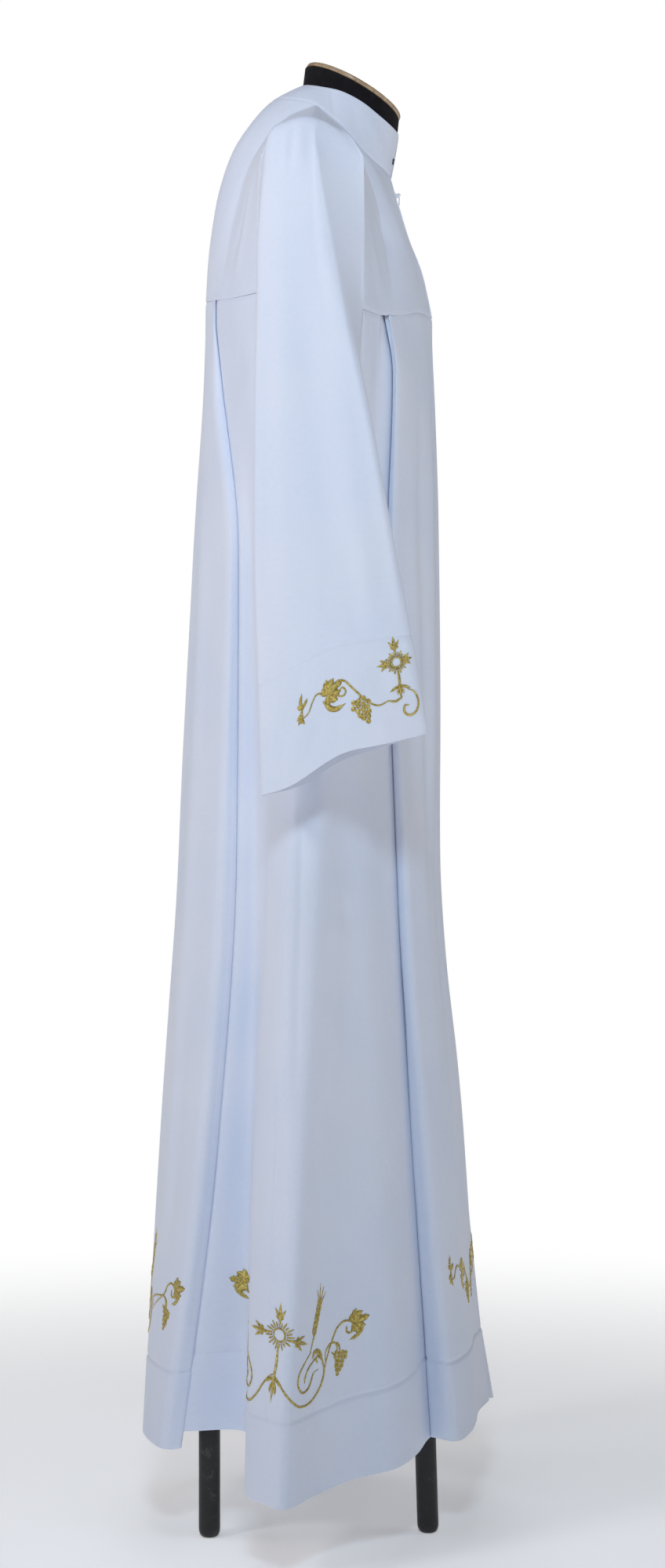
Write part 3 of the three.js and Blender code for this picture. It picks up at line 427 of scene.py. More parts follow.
# ------------------------------------------------------------------ neck cap
# A thin turned wooden cap with a rounded edge, which closes the top of the neck and leans
# with it. It is stained light brown and varnished.
cap_profile = [(0, -3), (0, -1.4), (0.3, -0.7), (0.9, -0.35), (1.8, -0.3), (3.0, -0.3), (3.9, -0.55),
               (4.6, -1.3), (4.95, -2.5), (5, -4), (5, -22), (5, -40)]
cap_rings = [neck_oval(angles_round(112), rise, grow) for rise, grow in cap_profile]


def wood_feeds(start):
    stretch = start.node('ShaderNodeMapping', {}, {'Vector': start.place(), 'Scale': (9.0, 1.4, 2.2)})
    mixed = stretch.noise(26.0, 7.0, Roughness=0.7) * 0.8 + stretch.noise(150.0, 2.0) * 0.2
    colour = mixed.ramp((0.3, (0.2, 0.12, 0.06)), (0.5, (0.36, 0.25, 0.145)), (0.72, (0.5, 0.38, 0.24)))
    return {'Base Color': colour, 'Roughness': mixed * 0.3 + 0.25, 'Normal': mixed.bump(0.2, 0.0004)}


cap_wood = finish('cap_wood', wood_feeds, Coat_Weight=0.3, Coat_Roughness=0.2)
neck_cap = outwards(piece('wooden_cap', *stacked(cap_rings), cap_wood, 'cap_wood'), 50)
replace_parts(neck_cap, 'neck_cap')

# ------------------------------------------------------------------ yokes
# Two front yokes and a back yoke of closely woven white polyester twill with a soft satin
# face. Each is sewn to the collar above, to the sleeves beside it and to the pleats below.
shoulder_seam = [[8, 79, 1471], [12, 118, 1453], [16, 160, 1432], [20, 198, 1413]]
seam_front = [[120, 0, 1267], [113, 62, 1257], [101, 108, 1244], [84, 152, 1234], [72, 198, 1229]]
seam_back = [[-121, 0, 1286], [-113, 50, 1279], [-97, 92, 1270], [-67, 145, 1258], [-31, 198, 1249]]
centre_front = [[120, 0, 1267], [115.5, 0, 1288], [108, 0, 1317], [94, 0, 1353], [86, 0, 1380],
                [76, 2.5, 1417]]
centre_back = [[-121, 0, 1286], [-120, 0, 1315], [-117, 0, 1347], [-108, 0, 1397], [-91, 0, 1442],
               [-66, 0, 1478], [-54, 0, 1494]]
armhole_front = [[72, 198, 1229], [73, 198, 1290], [73, 198, 1345], [70, 198, 1378], [56, 198, 1401],
                 [20, 198, 1413]]
armhole_back = [[-31, 198, 1249], [-31.5, 198, 1300], [-31, 198, 1350], [-28, 198, 1384],
                [-14, 198, 1406], [20, 198, 1413]]
neck_side, neck_share = 5 / 9, 7 / 12
shoulder = 198
zip_half, zip_spread = 0.8, 2.7


def patch(seam, centre, armhole, start, s, t):
    """Yoke cloth stretched between its seam, its centre line, its armhole and the neckline."""
    def top(at):
        neck = along(neckline, start + (neck_side - start) * np.minimum(at / neck_share, 1))
        seam = along(shoulder_seam, np.maximum((at - neck_share) / (1 - neck_share), 0))
        return np.where((at <= neck_share)[..., None], neck, seam)

    ends = np.array([0.0, 1.0])
    low, high = along(seam, ends), top(ends)
    s1, t1 = s[..., None], t[..., None]
    corner = ((low[0] * (1 - s1) + low[1] * s1) * (1 - t1) + (high[0] * (1 - s1) + high[1] * s1) * t1)
    return (along(seam, s) * (1 - t1) + top(s) * t1 + along(centre, t) * (1 - s1)
            + along(armhole, t) * s1 - corner)


def smooth(x):
    """A soft step from 0 to 1."""
    x = np.clip(x, 0, 1)
    return x * x * (3 - 2 * x)


def relief(across, height, folds, facing=1.0):
    """How far folds lift the cloth. A fold is its lift, its width and the line it follows.

    A width below 0 gives a sharp pressed edge in place of a soft one. A fourth number, when
    there is one, is the share of its length over which the fold dies out at both ends.
    """
    lift = np.zeros(np.shape(across))
    for fold in folds:
        high, width, line = fold[:3]
        fade = fold[3] if len(fold) > 3 else 0.3
        path = along(line, np.linspace(0, 1, 4 * len(line) - 3)) if len(line) > 2 else np.array(line, float)
        lengths = np.linalg.norm(np.diff(path, axis=0), axis=1)
        total = lengths.sum()
        best = np.full(np.shape(across), 1e9)
        where = np.zeros(np.shape(across))
        run = 0.0
        for (a0, z0), (a1, z1), length in zip(path[:-1], path[1:], lengths):
            u = ((across - a0) * (a1 - a0) + (height - z0) * (z1 - z0)) / length ** 2
            u = np.clip(u, 0, 1)
            away = np.hypot(across - a0 - u * (a1 - a0), height - z0 - u * (z1 - z0))
            nearer = away < best
            best = np.where(nearer, away, best)
            where = np.where(nearer, (run + u * length) / total, where)
            run += length
        ends = smooth(where / fade) * smooth((1 - where) / fade) if fade else 1.0
        profile = np.exp(-best / -width) if width < 0 else np.exp(-(best / width) ** 2)
        lift += high * profile * ends
    return lift * facing


class Cloth:
    """Grids of points that join along their common edges and become one thin piece."""

    def __init__(self):
        self.grids = []

    def add(self, grid, flip):
        self.grids.append((grid, flip))

    def weld(self):
        """Joins the grids where their points meet, and lays out the cloth's threads."""
        points = np.concatenate([grid.reshape(-1, 3) for grid, _ in self.grids])
        per_mm, off_grid = 40, 0.137
        keys = np.round(points * per_mm + off_grid).astype(np.int64)
        _, first, ids = np.unique(keys, axis=0, return_index=True, return_inverse=True)
        ids = ids.reshape(-1)
        self.points = points[first]
        self.ids, quads, uvs, start = [], [], [], 0
        for grid, flip in self.grids:
            rows, cols = grid.shape[:2]
            at = ids[start:start + rows * cols].reshape(rows, cols)
            start += rows * cols
            self.ids.append(at)
            wide = np.linalg.norm(np.diff(grid, axis=1), axis=2).mean(0).cumsum() / 100
            tall = np.linalg.norm(np.diff(grid, axis=0), axis=2).mean(1).cumsum() / 100
            flat = np.stack(np.meshgrid(np.append(0, wide), np.append(0, tall)), -1)
            corner = [slice(None, -1), slice(1, None)]
            order = [(0, 0), (0, 1), (1, 1), (1, 0)][::-1 if flip else 1]
            quads.append(np.stack([at[corner[r], corner[c]] for r, c in order], -1).reshape(-1, 4))
            uvs.append(np.stack([flat[corner[r], corner[c]] for r, c in order], 2).reshape(-1, 4, 2))
        self.quads, self.uv = np.concatenate(quads), np.concatenate(uvs)

    def normals(self):
        """Outward directions at the points."""
        p = self.points[self.quads]
        facing = np.cross(p[:, 2] - p[:, 0], p[:, 3] - p[:, 1])
        total = np.zeros_like(self.points)
        for k in range(4):
            np.add.at(total, self.quads[:, k], facing)
        return total / np.maximum(np.linalg.norm(total, axis=1, keepdims=True), 1e-9)

    def lift(self, heights):
        """Moves the cloth out by its folds, one array of heights for each grid."""
        total = np.zeros(len(self.points))
        for at, height in zip(self.ids, heights):
            total[at.reshape(-1)] = np.asarray(height).reshape(-1)
        self.points = self.points + self.normals() * total[:, None]

    def grid(self, k):
        """The points and outward directions of one grid."""
        return self.points[self.ids[k]], self.normals()[self.ids[k]]

    def piece(self, name, material, node, thick=0.9):
        """The finished shell. Its thickness goes inwards, and it stands for a node."""
        out = self.normals()
        count = len(self.points)
        edges = np.concatenate([self.quads[:, [k, (k + 1) % 4]] for k in range(4)])
        forth = edges[:, 0] * count + edges[:, 1]
        back = edges[:, 1] * count + edges[:, 0]
        rim = edges[~np.isin(back, forth)]
        flat = np.zeros((count, 2))
        flat[self.quads.reshape(-1)] = self.uv.reshape(-1, 2)
        walls = np.stack([rim[:, 1], rim[:, 0], rim[:, 0] + count, rim[:, 1] + count], -1)
        faces = np.concatenate([self.quads, self.quads[:, ::-1] + count, walls])
        uv = np.concatenate([self.uv, self.uv[:, ::-1], flat[walls % count]])
        points = np.concatenate([self.points, self.points - out * thick])
        made = piece(name, points, faces.tolist(), material, 'white_cloth', uv)
        made.data.set_sharp_from_angle(angle=math.radians(62))
        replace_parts(made, node)
        return made


def cloth_feeds(start):
    thread = start.node('ShaderNodeUVMap', {'uv_map': 'thread'})
    warp = thread.waves('DIAGONAL', 38.0, 0.6, Detail=1.0)
    weft = thread.waves('Y', 60.0, 0.5, Detail=1.0)
    slub = thread.noise(22.0, 4.0)
    shade = start.place().noise(7.0, 3.0) * 0.6 + slub * 0.25 + warp * 0.15
    colour = shade.ramp((0.32, (0.66, 0.73, 0.88)), (0.5, (0.71, 0.765, 0.895)), (0.7, (0.76, 0.795, 0.9)))
    weave = (warp * 0.6 + weft * 0.4).bump(0.12, 0.0002)
    crinkle = start.place().noise(26.0, 4.0).bump(0.3, 0.004, Normal=weave)
    return {'Base Color': colour, 'Roughness': slub * 0.16 + 0.5, 'Normal': crinkle}


white_cloth = finish('white_cloth', cloth_feeds, Sheen_Weight=0.12, Sheen_Roughness=0.45,
                     Specular_IOR_Level=0.35)

yoke_rows = np.concatenate([[0, 0.006, 0.014, 0.024], np.linspace(0.04, 0.965, 62),
                            [0.976, 0.986, 0.994, 1]])
yoke_s, yoke_t = np.meshgrid(np.linspace(0, 1, 73), yoke_rows)
front_yoke = patch(seam_front, centre_front, armhole_front, 0, yoke_s, yoke_t)
front_yoke[:, 0, 1] = zip_half + zip_spread * smooth((1 - yoke_rows) / 0.05)
back_yoke = patch(seam_back, centre_back, armhole_back, 1, yoke_s, yoke_t)


def seam_dip(distance, depth=0.9, width=2.2):
    """The little valley where two pieces of cloth are sewn together."""
    return -depth * np.exp(-(distance / width) ** 2)


def from_edge(grid, edge):
    """How far the points of a grid lie from their row's or column's point on an edge."""
    return np.linalg.norm(grid - edge, axis=2)


yoke_folds = {
    'right': [(-1.6, 9, [(150, 1385), (120, 1345), (98, 1300)]),
              (1.3, 12, [(170, 1330), (150, 1280), (138, 1245)]),
              (1.2, 10, [(60, 1400), (76, 1350), (80, 1300)]),
              (-1.0, 8, [(30, 1380), (40, 1330), (38, 1285)])],
    'left': [(-1.4, 10, [(158, 1380), (132, 1350), (112, 1312)]),
             (1.5, 12, [(176, 1322), (160, 1285), (150, 1248)]),
             (1.0, 11, [(52, 1392), (66, 1356), (74, 1318)]),
             (-0.9, 8, [(34, 1392), (36, 1345), (44, 1300)])],
    'back': [(1.8, 10, [(168, 1398), (160, 1361), (148, 1301), (140, 1268)]),
             (-1.6, 9, [(150, 1402), (146, 1350), (128, 1296)]),
             (1.2, 14, [(90, 1430), (84, 1370), (88, 1300)]),
             (-1.0, 10, [(46, 1440), (40, 1380), (48, 1320)])],
    'back_left': [(1.5, 11, [(172, 1390), (158, 1350), (150, 1290)]),
                  (-1.7, 9, [(140, 1410), (134, 1360), (122, 1300)]),
                  (1.0, 13, [(78, 1436), (70, 1372), (76, 1310)]),
                  (-0.8, 10, [(30, 1440), (36, 1390), (30, 1330)])],
}


def yoke_lift(grid, folds):
    """Folds that die out towards the seams, and the dips of those seams."""
    down, up, beside = from_edge(grid, grid[:1]), from_edge(grid, grid[-1:]), from_edge(grid, grid[:, -1:])
    calm = 14
    free = smooth(down / calm) * smooth(up / calm) * smooth(beside / calm) * smooth((grid[..., 1] - 6) / 12)
    lift = relief(grid[..., 1], grid[..., 2], folds) * free
    return lift + seam_dip(down) + seam_dip(up, 0.7) + seam_dip(beside, 0.9)


yoke_grids = {}
for side, label in [(1, 'right'), (-1, 'left')]:
    shell = Cloth()
    shell.add(world(front_yoke, side), side > 0)
    shell.weld()
    shell.lift([yoke_lift(front_yoke, yoke_folds[label])])
    yoke_grids[label] = shell.grid(0)
    cloth = shell.piece('alb_yoke_front_' + label, white_cloth, 'yoke_front_' + label)
shell = Cloth()
shell.add(world(back_yoke, 1), False)
shell.add(world(back_yoke, -1), True)
shell.weld()
shell.lift([yoke_lift(back_yoke, yoke_folds['back']), yoke_lift(back_yoke, yoke_folds['back_left'])])
cloth = shell.piece('alb_yoke_back', white_cloth, 'yoke_back')
yoke_back_grids = [shell.grid(0), shell.grid(1)]

# ------------------------------------------------------------------ skirt
# Two fronts and a back of the same twill, pleated in under the yokes: one pleat on each side
# of the front and of the back, and a hollow fold at each side. The hem is turned up deep.
skirt_heights = np.array([1240, 1180, 1000, 700, 400, 80], float)
# The right half's fold lines from centre front to centre back: the heights of the line's top and
# hem, then how far forward and how far out it lies at each of the skirt's heights.
skirt_folds = [
    ['centre_front', 1267, 103, [120, 122, 124, 127, 152, 168], [0, 0, 0, 0, 0, 0]],
    ['front_middle', 1258, 103, [114, 117, 120, 124, 148, 167], [55, 55, 52, 50, 48, 50]],
    ['front_corner', 1237, 104, [91, 101, 97, 108, 129, 158], [128, 126, 117, 110, 106, 101]],
    ['front_tip', 1235, 105, [85, 95, 89, 98, 114, 134], [134, 131, 121, 113, 103, 92]],
    ['front_tuck', 1234.5, 105, [84, 93.5, 87.5, 95.5, 111.5, 131], [126, 122, 112, 103, 94, 84]],
    ['front_deep_a', 1246, 108, [98, 101, 100, 104, 127, 153], [86, 84, 76, 70, 66, 63]],
    ['front_deep_b', 1246, 108, [93, 95, 93, 96, 119, 147], [84, 82, 72, 66, 63, 60]],
    ['side_start', 1234.5, 104, [82.6, 92.1, 86.1, 94, 109, 127.7], [130, 126, 116, 107.5, 98, 88.5]],
    ['side_front_a', 1233.5, 98, [83, 80, 73, 83, 100, 119], [152, 142, 138, 138, 139, 139]],
    ['side_front_b', 1231, 92, [78, 75, 65, 70, 84, 101], [175, 169, 162, 168, 172, 177]],
    ['side_front_c', 1229, 86, [72, 67, 52, 51, 56, 60], [198, 190, 181, 195, 200, 203]],
    ['ridge_front', 1134, 80, [52, 48, 34, 36, 36, 33], [197.5, 197, 190, 217, 228, 237]],
    ['ridge_tip', 1112, 77, [20, 20, 14, 17, 14, 10], [197.5, 197, 193, 227, 254, 287]],
    ['side_seam', 1130, 78, [-10, -8, -8, 0, -9, -14], [197.5, 197, 190, 221, 248, 273]],
    ['ridge_back', 1249, 80, [-31, -26, -27, -21, -33, -36], [198, 193, 177, 196, 219, 247]],
    ['side_back_a', 1252.5, 90, [-42, -41, -39, -27, -35, -39], [186, 178, 166, 180, 190, 205]],
    ['recess_front', 1259, 112, [-67, -58, -47, -41, -49, -56], [145, 150, 156, 151, 138, 126]],
    ['recess_back', 1270, 113, [-93.6, -86.1, -61.1, -63, -83.9, -123.8], [92, 98, 146, 146.5, 141.5, 133]],
    ['back_deep_b', 1277, 110, [-101, -96, -80, -86, -108, -138], [52, 57, 98, 96, 92, 90]],
    ['back_deep_a', 1277, 106, [-107, -102, -87, -93, -115, -146], [55, 59, 101, 100, 97, 95]],
    ['back_tuck', 1270.5, 98, [-95, -87.5, -62.5, -64.5, -85.5, -126], [87, 93, 141, 142, 137, 129]],
    ['back_tip', 1270, 95, [-96, -89, -64, -67, -87, -128], [94, 100, 149, 150, 146, 135]],
    ['back_corner', 1271.5, 95, [-100, -98, -76, -84, -105, -147], [86, 93, 140, 145, 145, 132]],
    ['back_middle', 1279, 95, [-114, -115, -121, -138, -159, -178], [48, 50, 62, 62, 62, 64]],
    ['centre_back', 1286, 97, [-121, -122, -131, -147, -166, -184], [0, 0, 0, 0, 0, 0]],
]
# The left half's pleats fall wider open: forward and out at 400 mm, then at the hem.
left_opening = {
    'front_corner': [11, 0, 17, 2], 'front_tip': [13, 3, 26, 16], 'front_tuck': [12, 3, 25, 16],
    'front_deep_a': [9, 0, 7, 1], 'front_deep_b': [10, 0, 5, -1], 'side_start': [13, 4, 24, 16],
    'side_front_a': [22, -1, 49, -1], 'side_front_b': [34, -4, 71, -5], 'side_front_c': [24, 5, 62, 11],
    'ridge_front': [10, 2, 37, 13],
}
# The stretches of fold lines that lie outside at the top. The others are tucked under.
outer_ranges = [(0, 3), (8, 10), (14, 16), (21, 24)]
side_row, centre_back_row = 13, 24
under_yoke, seam_gap = 4, 0.3
seam_fade, zip_foot, under_arm = 70, 960, 1105


def at_height(values, z):
    """Values that belong to the skirt's heights, joined smoothly and with no overshoot."""
    values = np.asarray(values, float)
    gaps = skirt_heights[:-1] - skirt_heights[1:]
    slopes = np.diff(values) / gaps
    before, after = slopes[:-1], slopes[1:]
    safe = np.where(before + after == 0, 1, before + after)
    tangents = np.concatenate([slopes[:1], np.where(before * after <= 0, 0, 2 * before * after / safe),
                               slopes[-1:]])
    i = (z[..., None] < skirt_heights[1:-1]).sum(-1)
    h = gaps[i]
    u = np.clip((skirt_heights[i] - z) / h, 0, 1)
    return ((2 * u ** 3 - 3 * u ** 2 + 1) * values[i] + (u ** 3 - 2 * u ** 2 + u) * tangents[i] * h
            + (3 * u ** 2 - 2 * u ** 3) * values[i + 1] + (u ** 3 - u ** 2) * tangents[i + 1] * h)


def skirt_section(row, z, side):
    """Forward and sideways places of one fold line, at heights z."""
    name, _, _, forward, out = skirt_folds[row]
    opening = left_opening.get(name, [0, 0, 0, 0]) if side < 0 else [0, 0, 0, 0]
    f = np.array(forward, float) + [0, 0, 0, 0, opening[0], opening[2]]
    s = np.array(out, float) + [0, 0, 0, 0, opening[1], opening[3]]
    return np.stack([at_height(f, z), at_height(s, z)], -1)


def skirt_column(x, side, t):
    """One line down the cloth, at x along the folds from centre front to centre back."""
    last = len(skirt_folds) - 1
    top_z, hem_z = along([row[1:3] for row in skirt_folds], x / last)
    z = top_z + (hem_z - top_z) * t
    i = min(int(x), last - 1)
    p1, p2 = skirt_section(i, z, side), skirt_section(i + 1, z, side)
    p0 = skirt_section(i - 1, z, side) if i > 0 else 2 * p1 - p2
    p3 = skirt_section(i + 2, z, side) if i + 2 <= last else 2 * p2 - p1
    f, s = curve(p0, p1, p2, p3, x - i).T
    apart = min(max(a - x, x - b, 0) for a, b in outer_ranges)
    outer = apart < 0.01
    yoke_edge = along(seam_front if x < side_row else seam_back, np.linspace(0, 1, 241))
    seam = yoke_edge[np.abs(yoke_edge[:, 1] - s[0]).argmin()]
    top = seam[2] - seam_gap + (seam_gap + under_yoke) * float(smooth(apart / 0.7))
    target = [seam[0], seam[1], top] if outer else [f[0], s[0], top]
    # Under the arm no yoke hangs above the cloth, so it keeps its own top.
    if 10 < x < 14 and not outer:
        target = [f[0], s[0], z[0]]
    fade = np.maximum(0, 1 - (z[0] - z) / seam_fade) ** 2
    beside_zip = (zip_half + zip_spread) * np.clip((z - zip_foot) / 24, 0, 1) * max(0.0, 1 - x / 0.6)
    s_out = s + (target[1] - s[0]) * fade + beside_zip
    s_out = np.where(z > under_arm, np.minimum(s_out, shoulder), s_out)
    return np.stack([f + (target[0] - f[0]) * fade, s_out, z + (target[2] - z[0]) * fade], -1)


def skirt_columns(first, last):
    """Positions along the folds, about 5 mm apart where the cloth is widest."""
    stops = []
    heights = np.array([1200.0, 700.0, 80.0])
    for row in range(first, last):
        steps = skirt_section(row + 1, heights, 1) - skirt_section(row, heights, 1)
        count = max(3, math.ceil(np.linalg.norm(steps, axis=1).max() / 5.0))
        stops += [row + k / count for k in range(count)]
    return stops + [last]


skirt_t = np.concatenate([[0, 0.0012, 0.0028, 0.005], np.linspace(0.009, 0.921, 150),
                          np.linspace(0.9235, 0.9385, 14), np.linspace(0.943, 1, 12)])
hem_deep = 80.0
side_depth, flat_depth = 1.6, 1.25
side_folds = {
    'right': [(3.0, 10, [(31, 1040), (30, 860), (29, 688), (24, 461), (14, 130)], 0.2),
              (-2.6, -6, [(13, 790), (14, 704), (14, 633), (14, 540), (13, 420)]),
              (-1.9, 11, [(57, 770), (56, 640), (51, 500), (46, 370)]),
              (2.0, -7, [(41, 800), (40, 746), (44, 660), (47, 560)]),
              (-2.2, 15, [(62, 790), (66, 650), (72, 500), (76, 330)]),
              (1.8, 18, [(92, 700), (98, 520), (104, 330), (112, 200)]),
              (-1.6, 9, [(52, 652), (54, 638), (55, 622)], 0.5),
              (-1.8, 12, [(-6, 520), (-4, 400), (-2, 260), (-4, 120)]),
              (1.6, 10, [(30, 300), (36, 220), (44, 130)])],
    'left': [(2.0, 13, [(20, 1020), (18, 850), (21, 690), (13, 450), (8, 140)], 0.2),
             (-2.6, -7, [(2, 800), (5, 690), (7, 560), (8, 430)]),
             (1.7, -8, [(44, 820), (46, 720), (52, 600)]),
             (-2.4, 16, [(70, 760), (82, 600), (98, 450), (118, 280)]),
             (2.0, 17, [(100, 640), (122, 470), (146, 300), (158, 190)]),
             (-1.6, 12, [(-8, 560), (-6, 420), (-5, 230)])],
}
front_folds = {
    'right': [(1.8, 13, [(30, 1240), (31, 1080), (27, 900), (30, 700)]),
              (-2.0, 12, [(70, 1235), (66, 1050), (58, 850), (62, 600)]),
              (1.6, 16, [(88, 1150), (80, 900), (76, 600), (84, 300), (90, 140)]),
              (-1.8, 14, [(24, 800), (30, 560), (34, 320), (36, 160)]),
              (1.4, 10, [(52, 520), (56, 360), (60, 190)])],
    'left': [(1.6, 14, [(36, 1230), (38, 1060), (33, 880), (29, 660)]),
             (-2.1, 12, [(78, 1232), (73, 1030), (66, 800), (70, 560)]),
             (1.8, 15, [(92, 1100), (84, 860), (82, 560), (92, 260)]),
             (-1.5, 13, [(20, 900), (24, 640), (22, 380)]), (1.5, 11, [(58, 600), (52, 420), (56, 180)])],
}
back_folds = {
    'right': [(2.4, 14, [(30, 1262), (34, 1100), (38, 880), (36, 620)]),
              (-2.6, 15, [(12, 1240), (14, 1050), (16, 820), (12, 540)]),
              (2.0, 15, [(66, 1180), (84, 980), (92, 720), (96, 420), (90, 180)]),
              (-2.0, 14, [(50, 900), (56, 660), (60, 380), (58, 150)]),
              (1.6, 12, [(14, 520), (22, 340), (26, 160)]),
              (-1.5, 10, [(100, 640), (108, 420), (104, 220)])],
    'left': [(2.2, 15, [(36, 1250), (40, 1060), (45, 840), (48, 600)]),
             (-2.2, 14, [(18, 1210), (22, 1000), (28, 760), (26, 480)]),
             (2.3, 14, [(70, 1150), (88, 920), (98, 640), (100, 380)]),
             (-1.8, 15, [(60, 820), (70, 560), (74, 300), (66, 140)]),
             (1.7, 12, [(8, 640), (6, 440), (14, 220)]),
             (-1.3, 11, [(112, 560), (116, 360), (110, 180)])],
}


def skirt_grid(stops, side):
    """Skirt cloth of one half, between two of its fold lines."""
    return np.stack([skirt_column(x, side, skirt_t) for x in stops], axis=1)


def skirt_lift(grid, shell_grid, label, side):
    """The folds of one half of the skirt, with its seams and its turned-up hem."""
    f, s, z = grid[..., 0], grid[..., 1], grid[..., 2]
    across = np.gradient(shell_grid, axis=1)
    down = np.gradient(shell_grid, axis=0)
    out = np.cross(across, down) * side
    out /= np.maximum(np.linalg.norm(out, axis=-1, keepdims=True), 1e-9)
    beside = smooth((-side * out[..., 0] - 0.35) / 0.5)
    ahead = smooth((-out[..., 1] - 0.45) / 0.4)
    behind = smooth((out[..., 1] - 0.45) / 0.4)
    lift = (side_depth * relief(f, z, side_folds[label], beside)
            + flat_depth * relief(s, z, front_folds[label], ahead)
            + flat_depth * relief(s, z, back_folds[label], behind))
    steps = np.linalg.norm(np.diff(grid, axis=0), axis=2)
    fall = np.concatenate([np.zeros((1, z.shape[1])), steps.cumsum(0)])
    above_hem = fall[-1:] - fall - hem_deep
    lift *= smooth(fall / 45) * smooth((s - 5) / 14)
    stitched_row = -40
    level = grid[stitched_row]
    run = np.linalg.norm(np.diff(level, axis=0, prepend=level[:1]), axis=1).cumsum()
    ripple = 0.35 * np.sin(run / 5.3) * np.exp(-(above_hem / 9) ** 2)
    turned = 0.55 * smooth(-above_hem / 3)
    return lift + seam_dip(fall, 1.1) + turned + seam_dip(above_hem, 0.75, 2.4) + ripple


front_stops, back_stops = skirt_columns(0, side_row), skirt_columns(side_row, centre_back_row)
ring_parts = []
back_shell, back_lifts = Cloth(), []
for side, label, width, area in [(1, 'right', 0.51, 0.469), (-1, 'left', 0.538, 0.481)]:
    grid = skirt_grid(front_stops, side)
    shell = Cloth()
    shell.add(world(grid, side).transpose(1, 0, 2), side > 0)
    shell.weld()
    shell.lift([skirt_lift(grid, world(grid, side), label, side).T])
    cloth = shell.piece('alb_skirt_front_' + label, white_cloth, 'skirt_front_' + label)
    'alb_yoke_front_' + label
    ring_parts.append((side, *(part.transpose(1, 0, 2) for part in shell.grid(0))))
    grid = skirt_grid(back_stops, side)
    back_shell.add(world(grid, side).transpose(1, 0, 2), side > 0)
    back_lifts.append(skirt_lift(grid, world(grid, side), label, side).T)
back_shell.weld()
back_shell.lift(back_lifts)
cloth = back_shell.piece('alb_skirt_back', white_cloth, 'skirt_back')

# ------------------------------------------------------------------ sleeves and cuffs
# Wide straight sleeves of the same twill, gathered a little at the shoulder and sewn round
# the armhole. Each ends in a deep turned-up cuff band, joined by a seam of its own.
# Rows of points across the sleeve, from its head down to the cuff's edge, front to back.
sleeve_outer = [
    [[72, 198, 1378], [58, 198, 1399], [40, 198, 1409], [20, 198, 1413], [0, 198, 1411],
     [-17, 198, 1403], [-28, 198, 1383]],
    [[72.8, 198, 1362], [34, 217, 1396], [27, 220, 1402], [15, 221, 1405], [0, 220, 1402],
     [-19, 214, 1394], [-31, 198, 1362]],
    [[73, 198, 1300], [43, 231, 1301], [27, 234, 1302], [8, 233, 1303], [-11, 229, 1303],
     [-28, 219, 1303], [-31.4, 198, 1305]],
    [[72, 198, 1229], [57, 238, 1229], [36, 241, 1232], [12, 240, 1236], [-10, 236, 1242],
     [-28, 226, 1247], [-31, 198, 1249]],
    [[72, 226, 1136], [79, 247, 1136], [50, 252, 1138], [20, 253, 1140], [-8, 249, 1142],
     [-28, 240, 1145], [-27, 216, 1147]],
    [[98, 237, 984], [108, 256, 984], [76, 266, 983], [40, 268, 982], [5, 264, 980],
     [-25, 254, 978], [-27, 232, 978]],
    [[116, 246, 903], [125, 266, 902], [90, 279, 897], [52, 283, 889], [14, 279, 869],
     [-19, 267, 857], [-20, 245, 856]],
    [[132, 248, 811], [140, 268, 808], [104, 285, 798], [62, 290, 788], [16, 287, 760],
     [-15, 275, 751], [-17, 250, 752]],
]
# The same for the side against the body, from the armhole's foot down, back to front.
sleeve_inner = [
    [[-31, 198, 1249], [-15, 198, 1160], [20, 198, 1112], [55, 198, 1148], [72, 198, 1229]],
    [[-27, 216, 1147], [-8, 206, 1112], [22, 203, 1080], [52, 208, 1104], [72, 226, 1136]],
    [[-27, 232, 978], [5, 225, 972], [38, 225, 968], [72, 229, 975], [98, 237, 984]],
    [[-20, 245, 856], [15, 236, 865], [52, 235, 876], [88, 238, 890], [116, 246, 903]],
    [[-17, 250, 752], [18, 238, 762], [58, 236, 786], [98, 239, 798], [132, 248, 811]],
]
left_swing = 47
armhole_foot, hang = 1229, 449
arm_row, cuff_row, edge_row = 3.0, 6, 7


def sleeve_rows(table, stops, t):
    """Sleeve cloth of the right side, before it swings."""
    rows = along(np.array([along(points, t) for points in table]), stops / (len(table) - 1))
    rows[..., 1] = np.maximum(rows[..., 1], shoulder + seam_gap)
    return rows


def hung(rows, side):
    """The left sleeve swings back on its way down."""
    fall = np.maximum(0, (armhole_foot - rows[..., 2]) / hang)
    rows = rows.copy()
    rows[..., 0] -= left_swing * fall ** 1.15 if side < 0 else 0
    return world(rows, side)


def even_stops(first, last, gap):
    """Stops along the sleeve whose rows lie about a gap apart."""
    fine = np.linspace(first, last, 400)
    middle = sleeve_rows(sleeve_outer, fine, np.array([0.5]))[:, 0]
    run = np.append(0, np.linalg.norm(np.diff(middle, axis=0), axis=1).cumsum())
    return np.interp(np.linspace(0, run[-1], math.ceil(run[-1] / gap) + 1), run, fine)


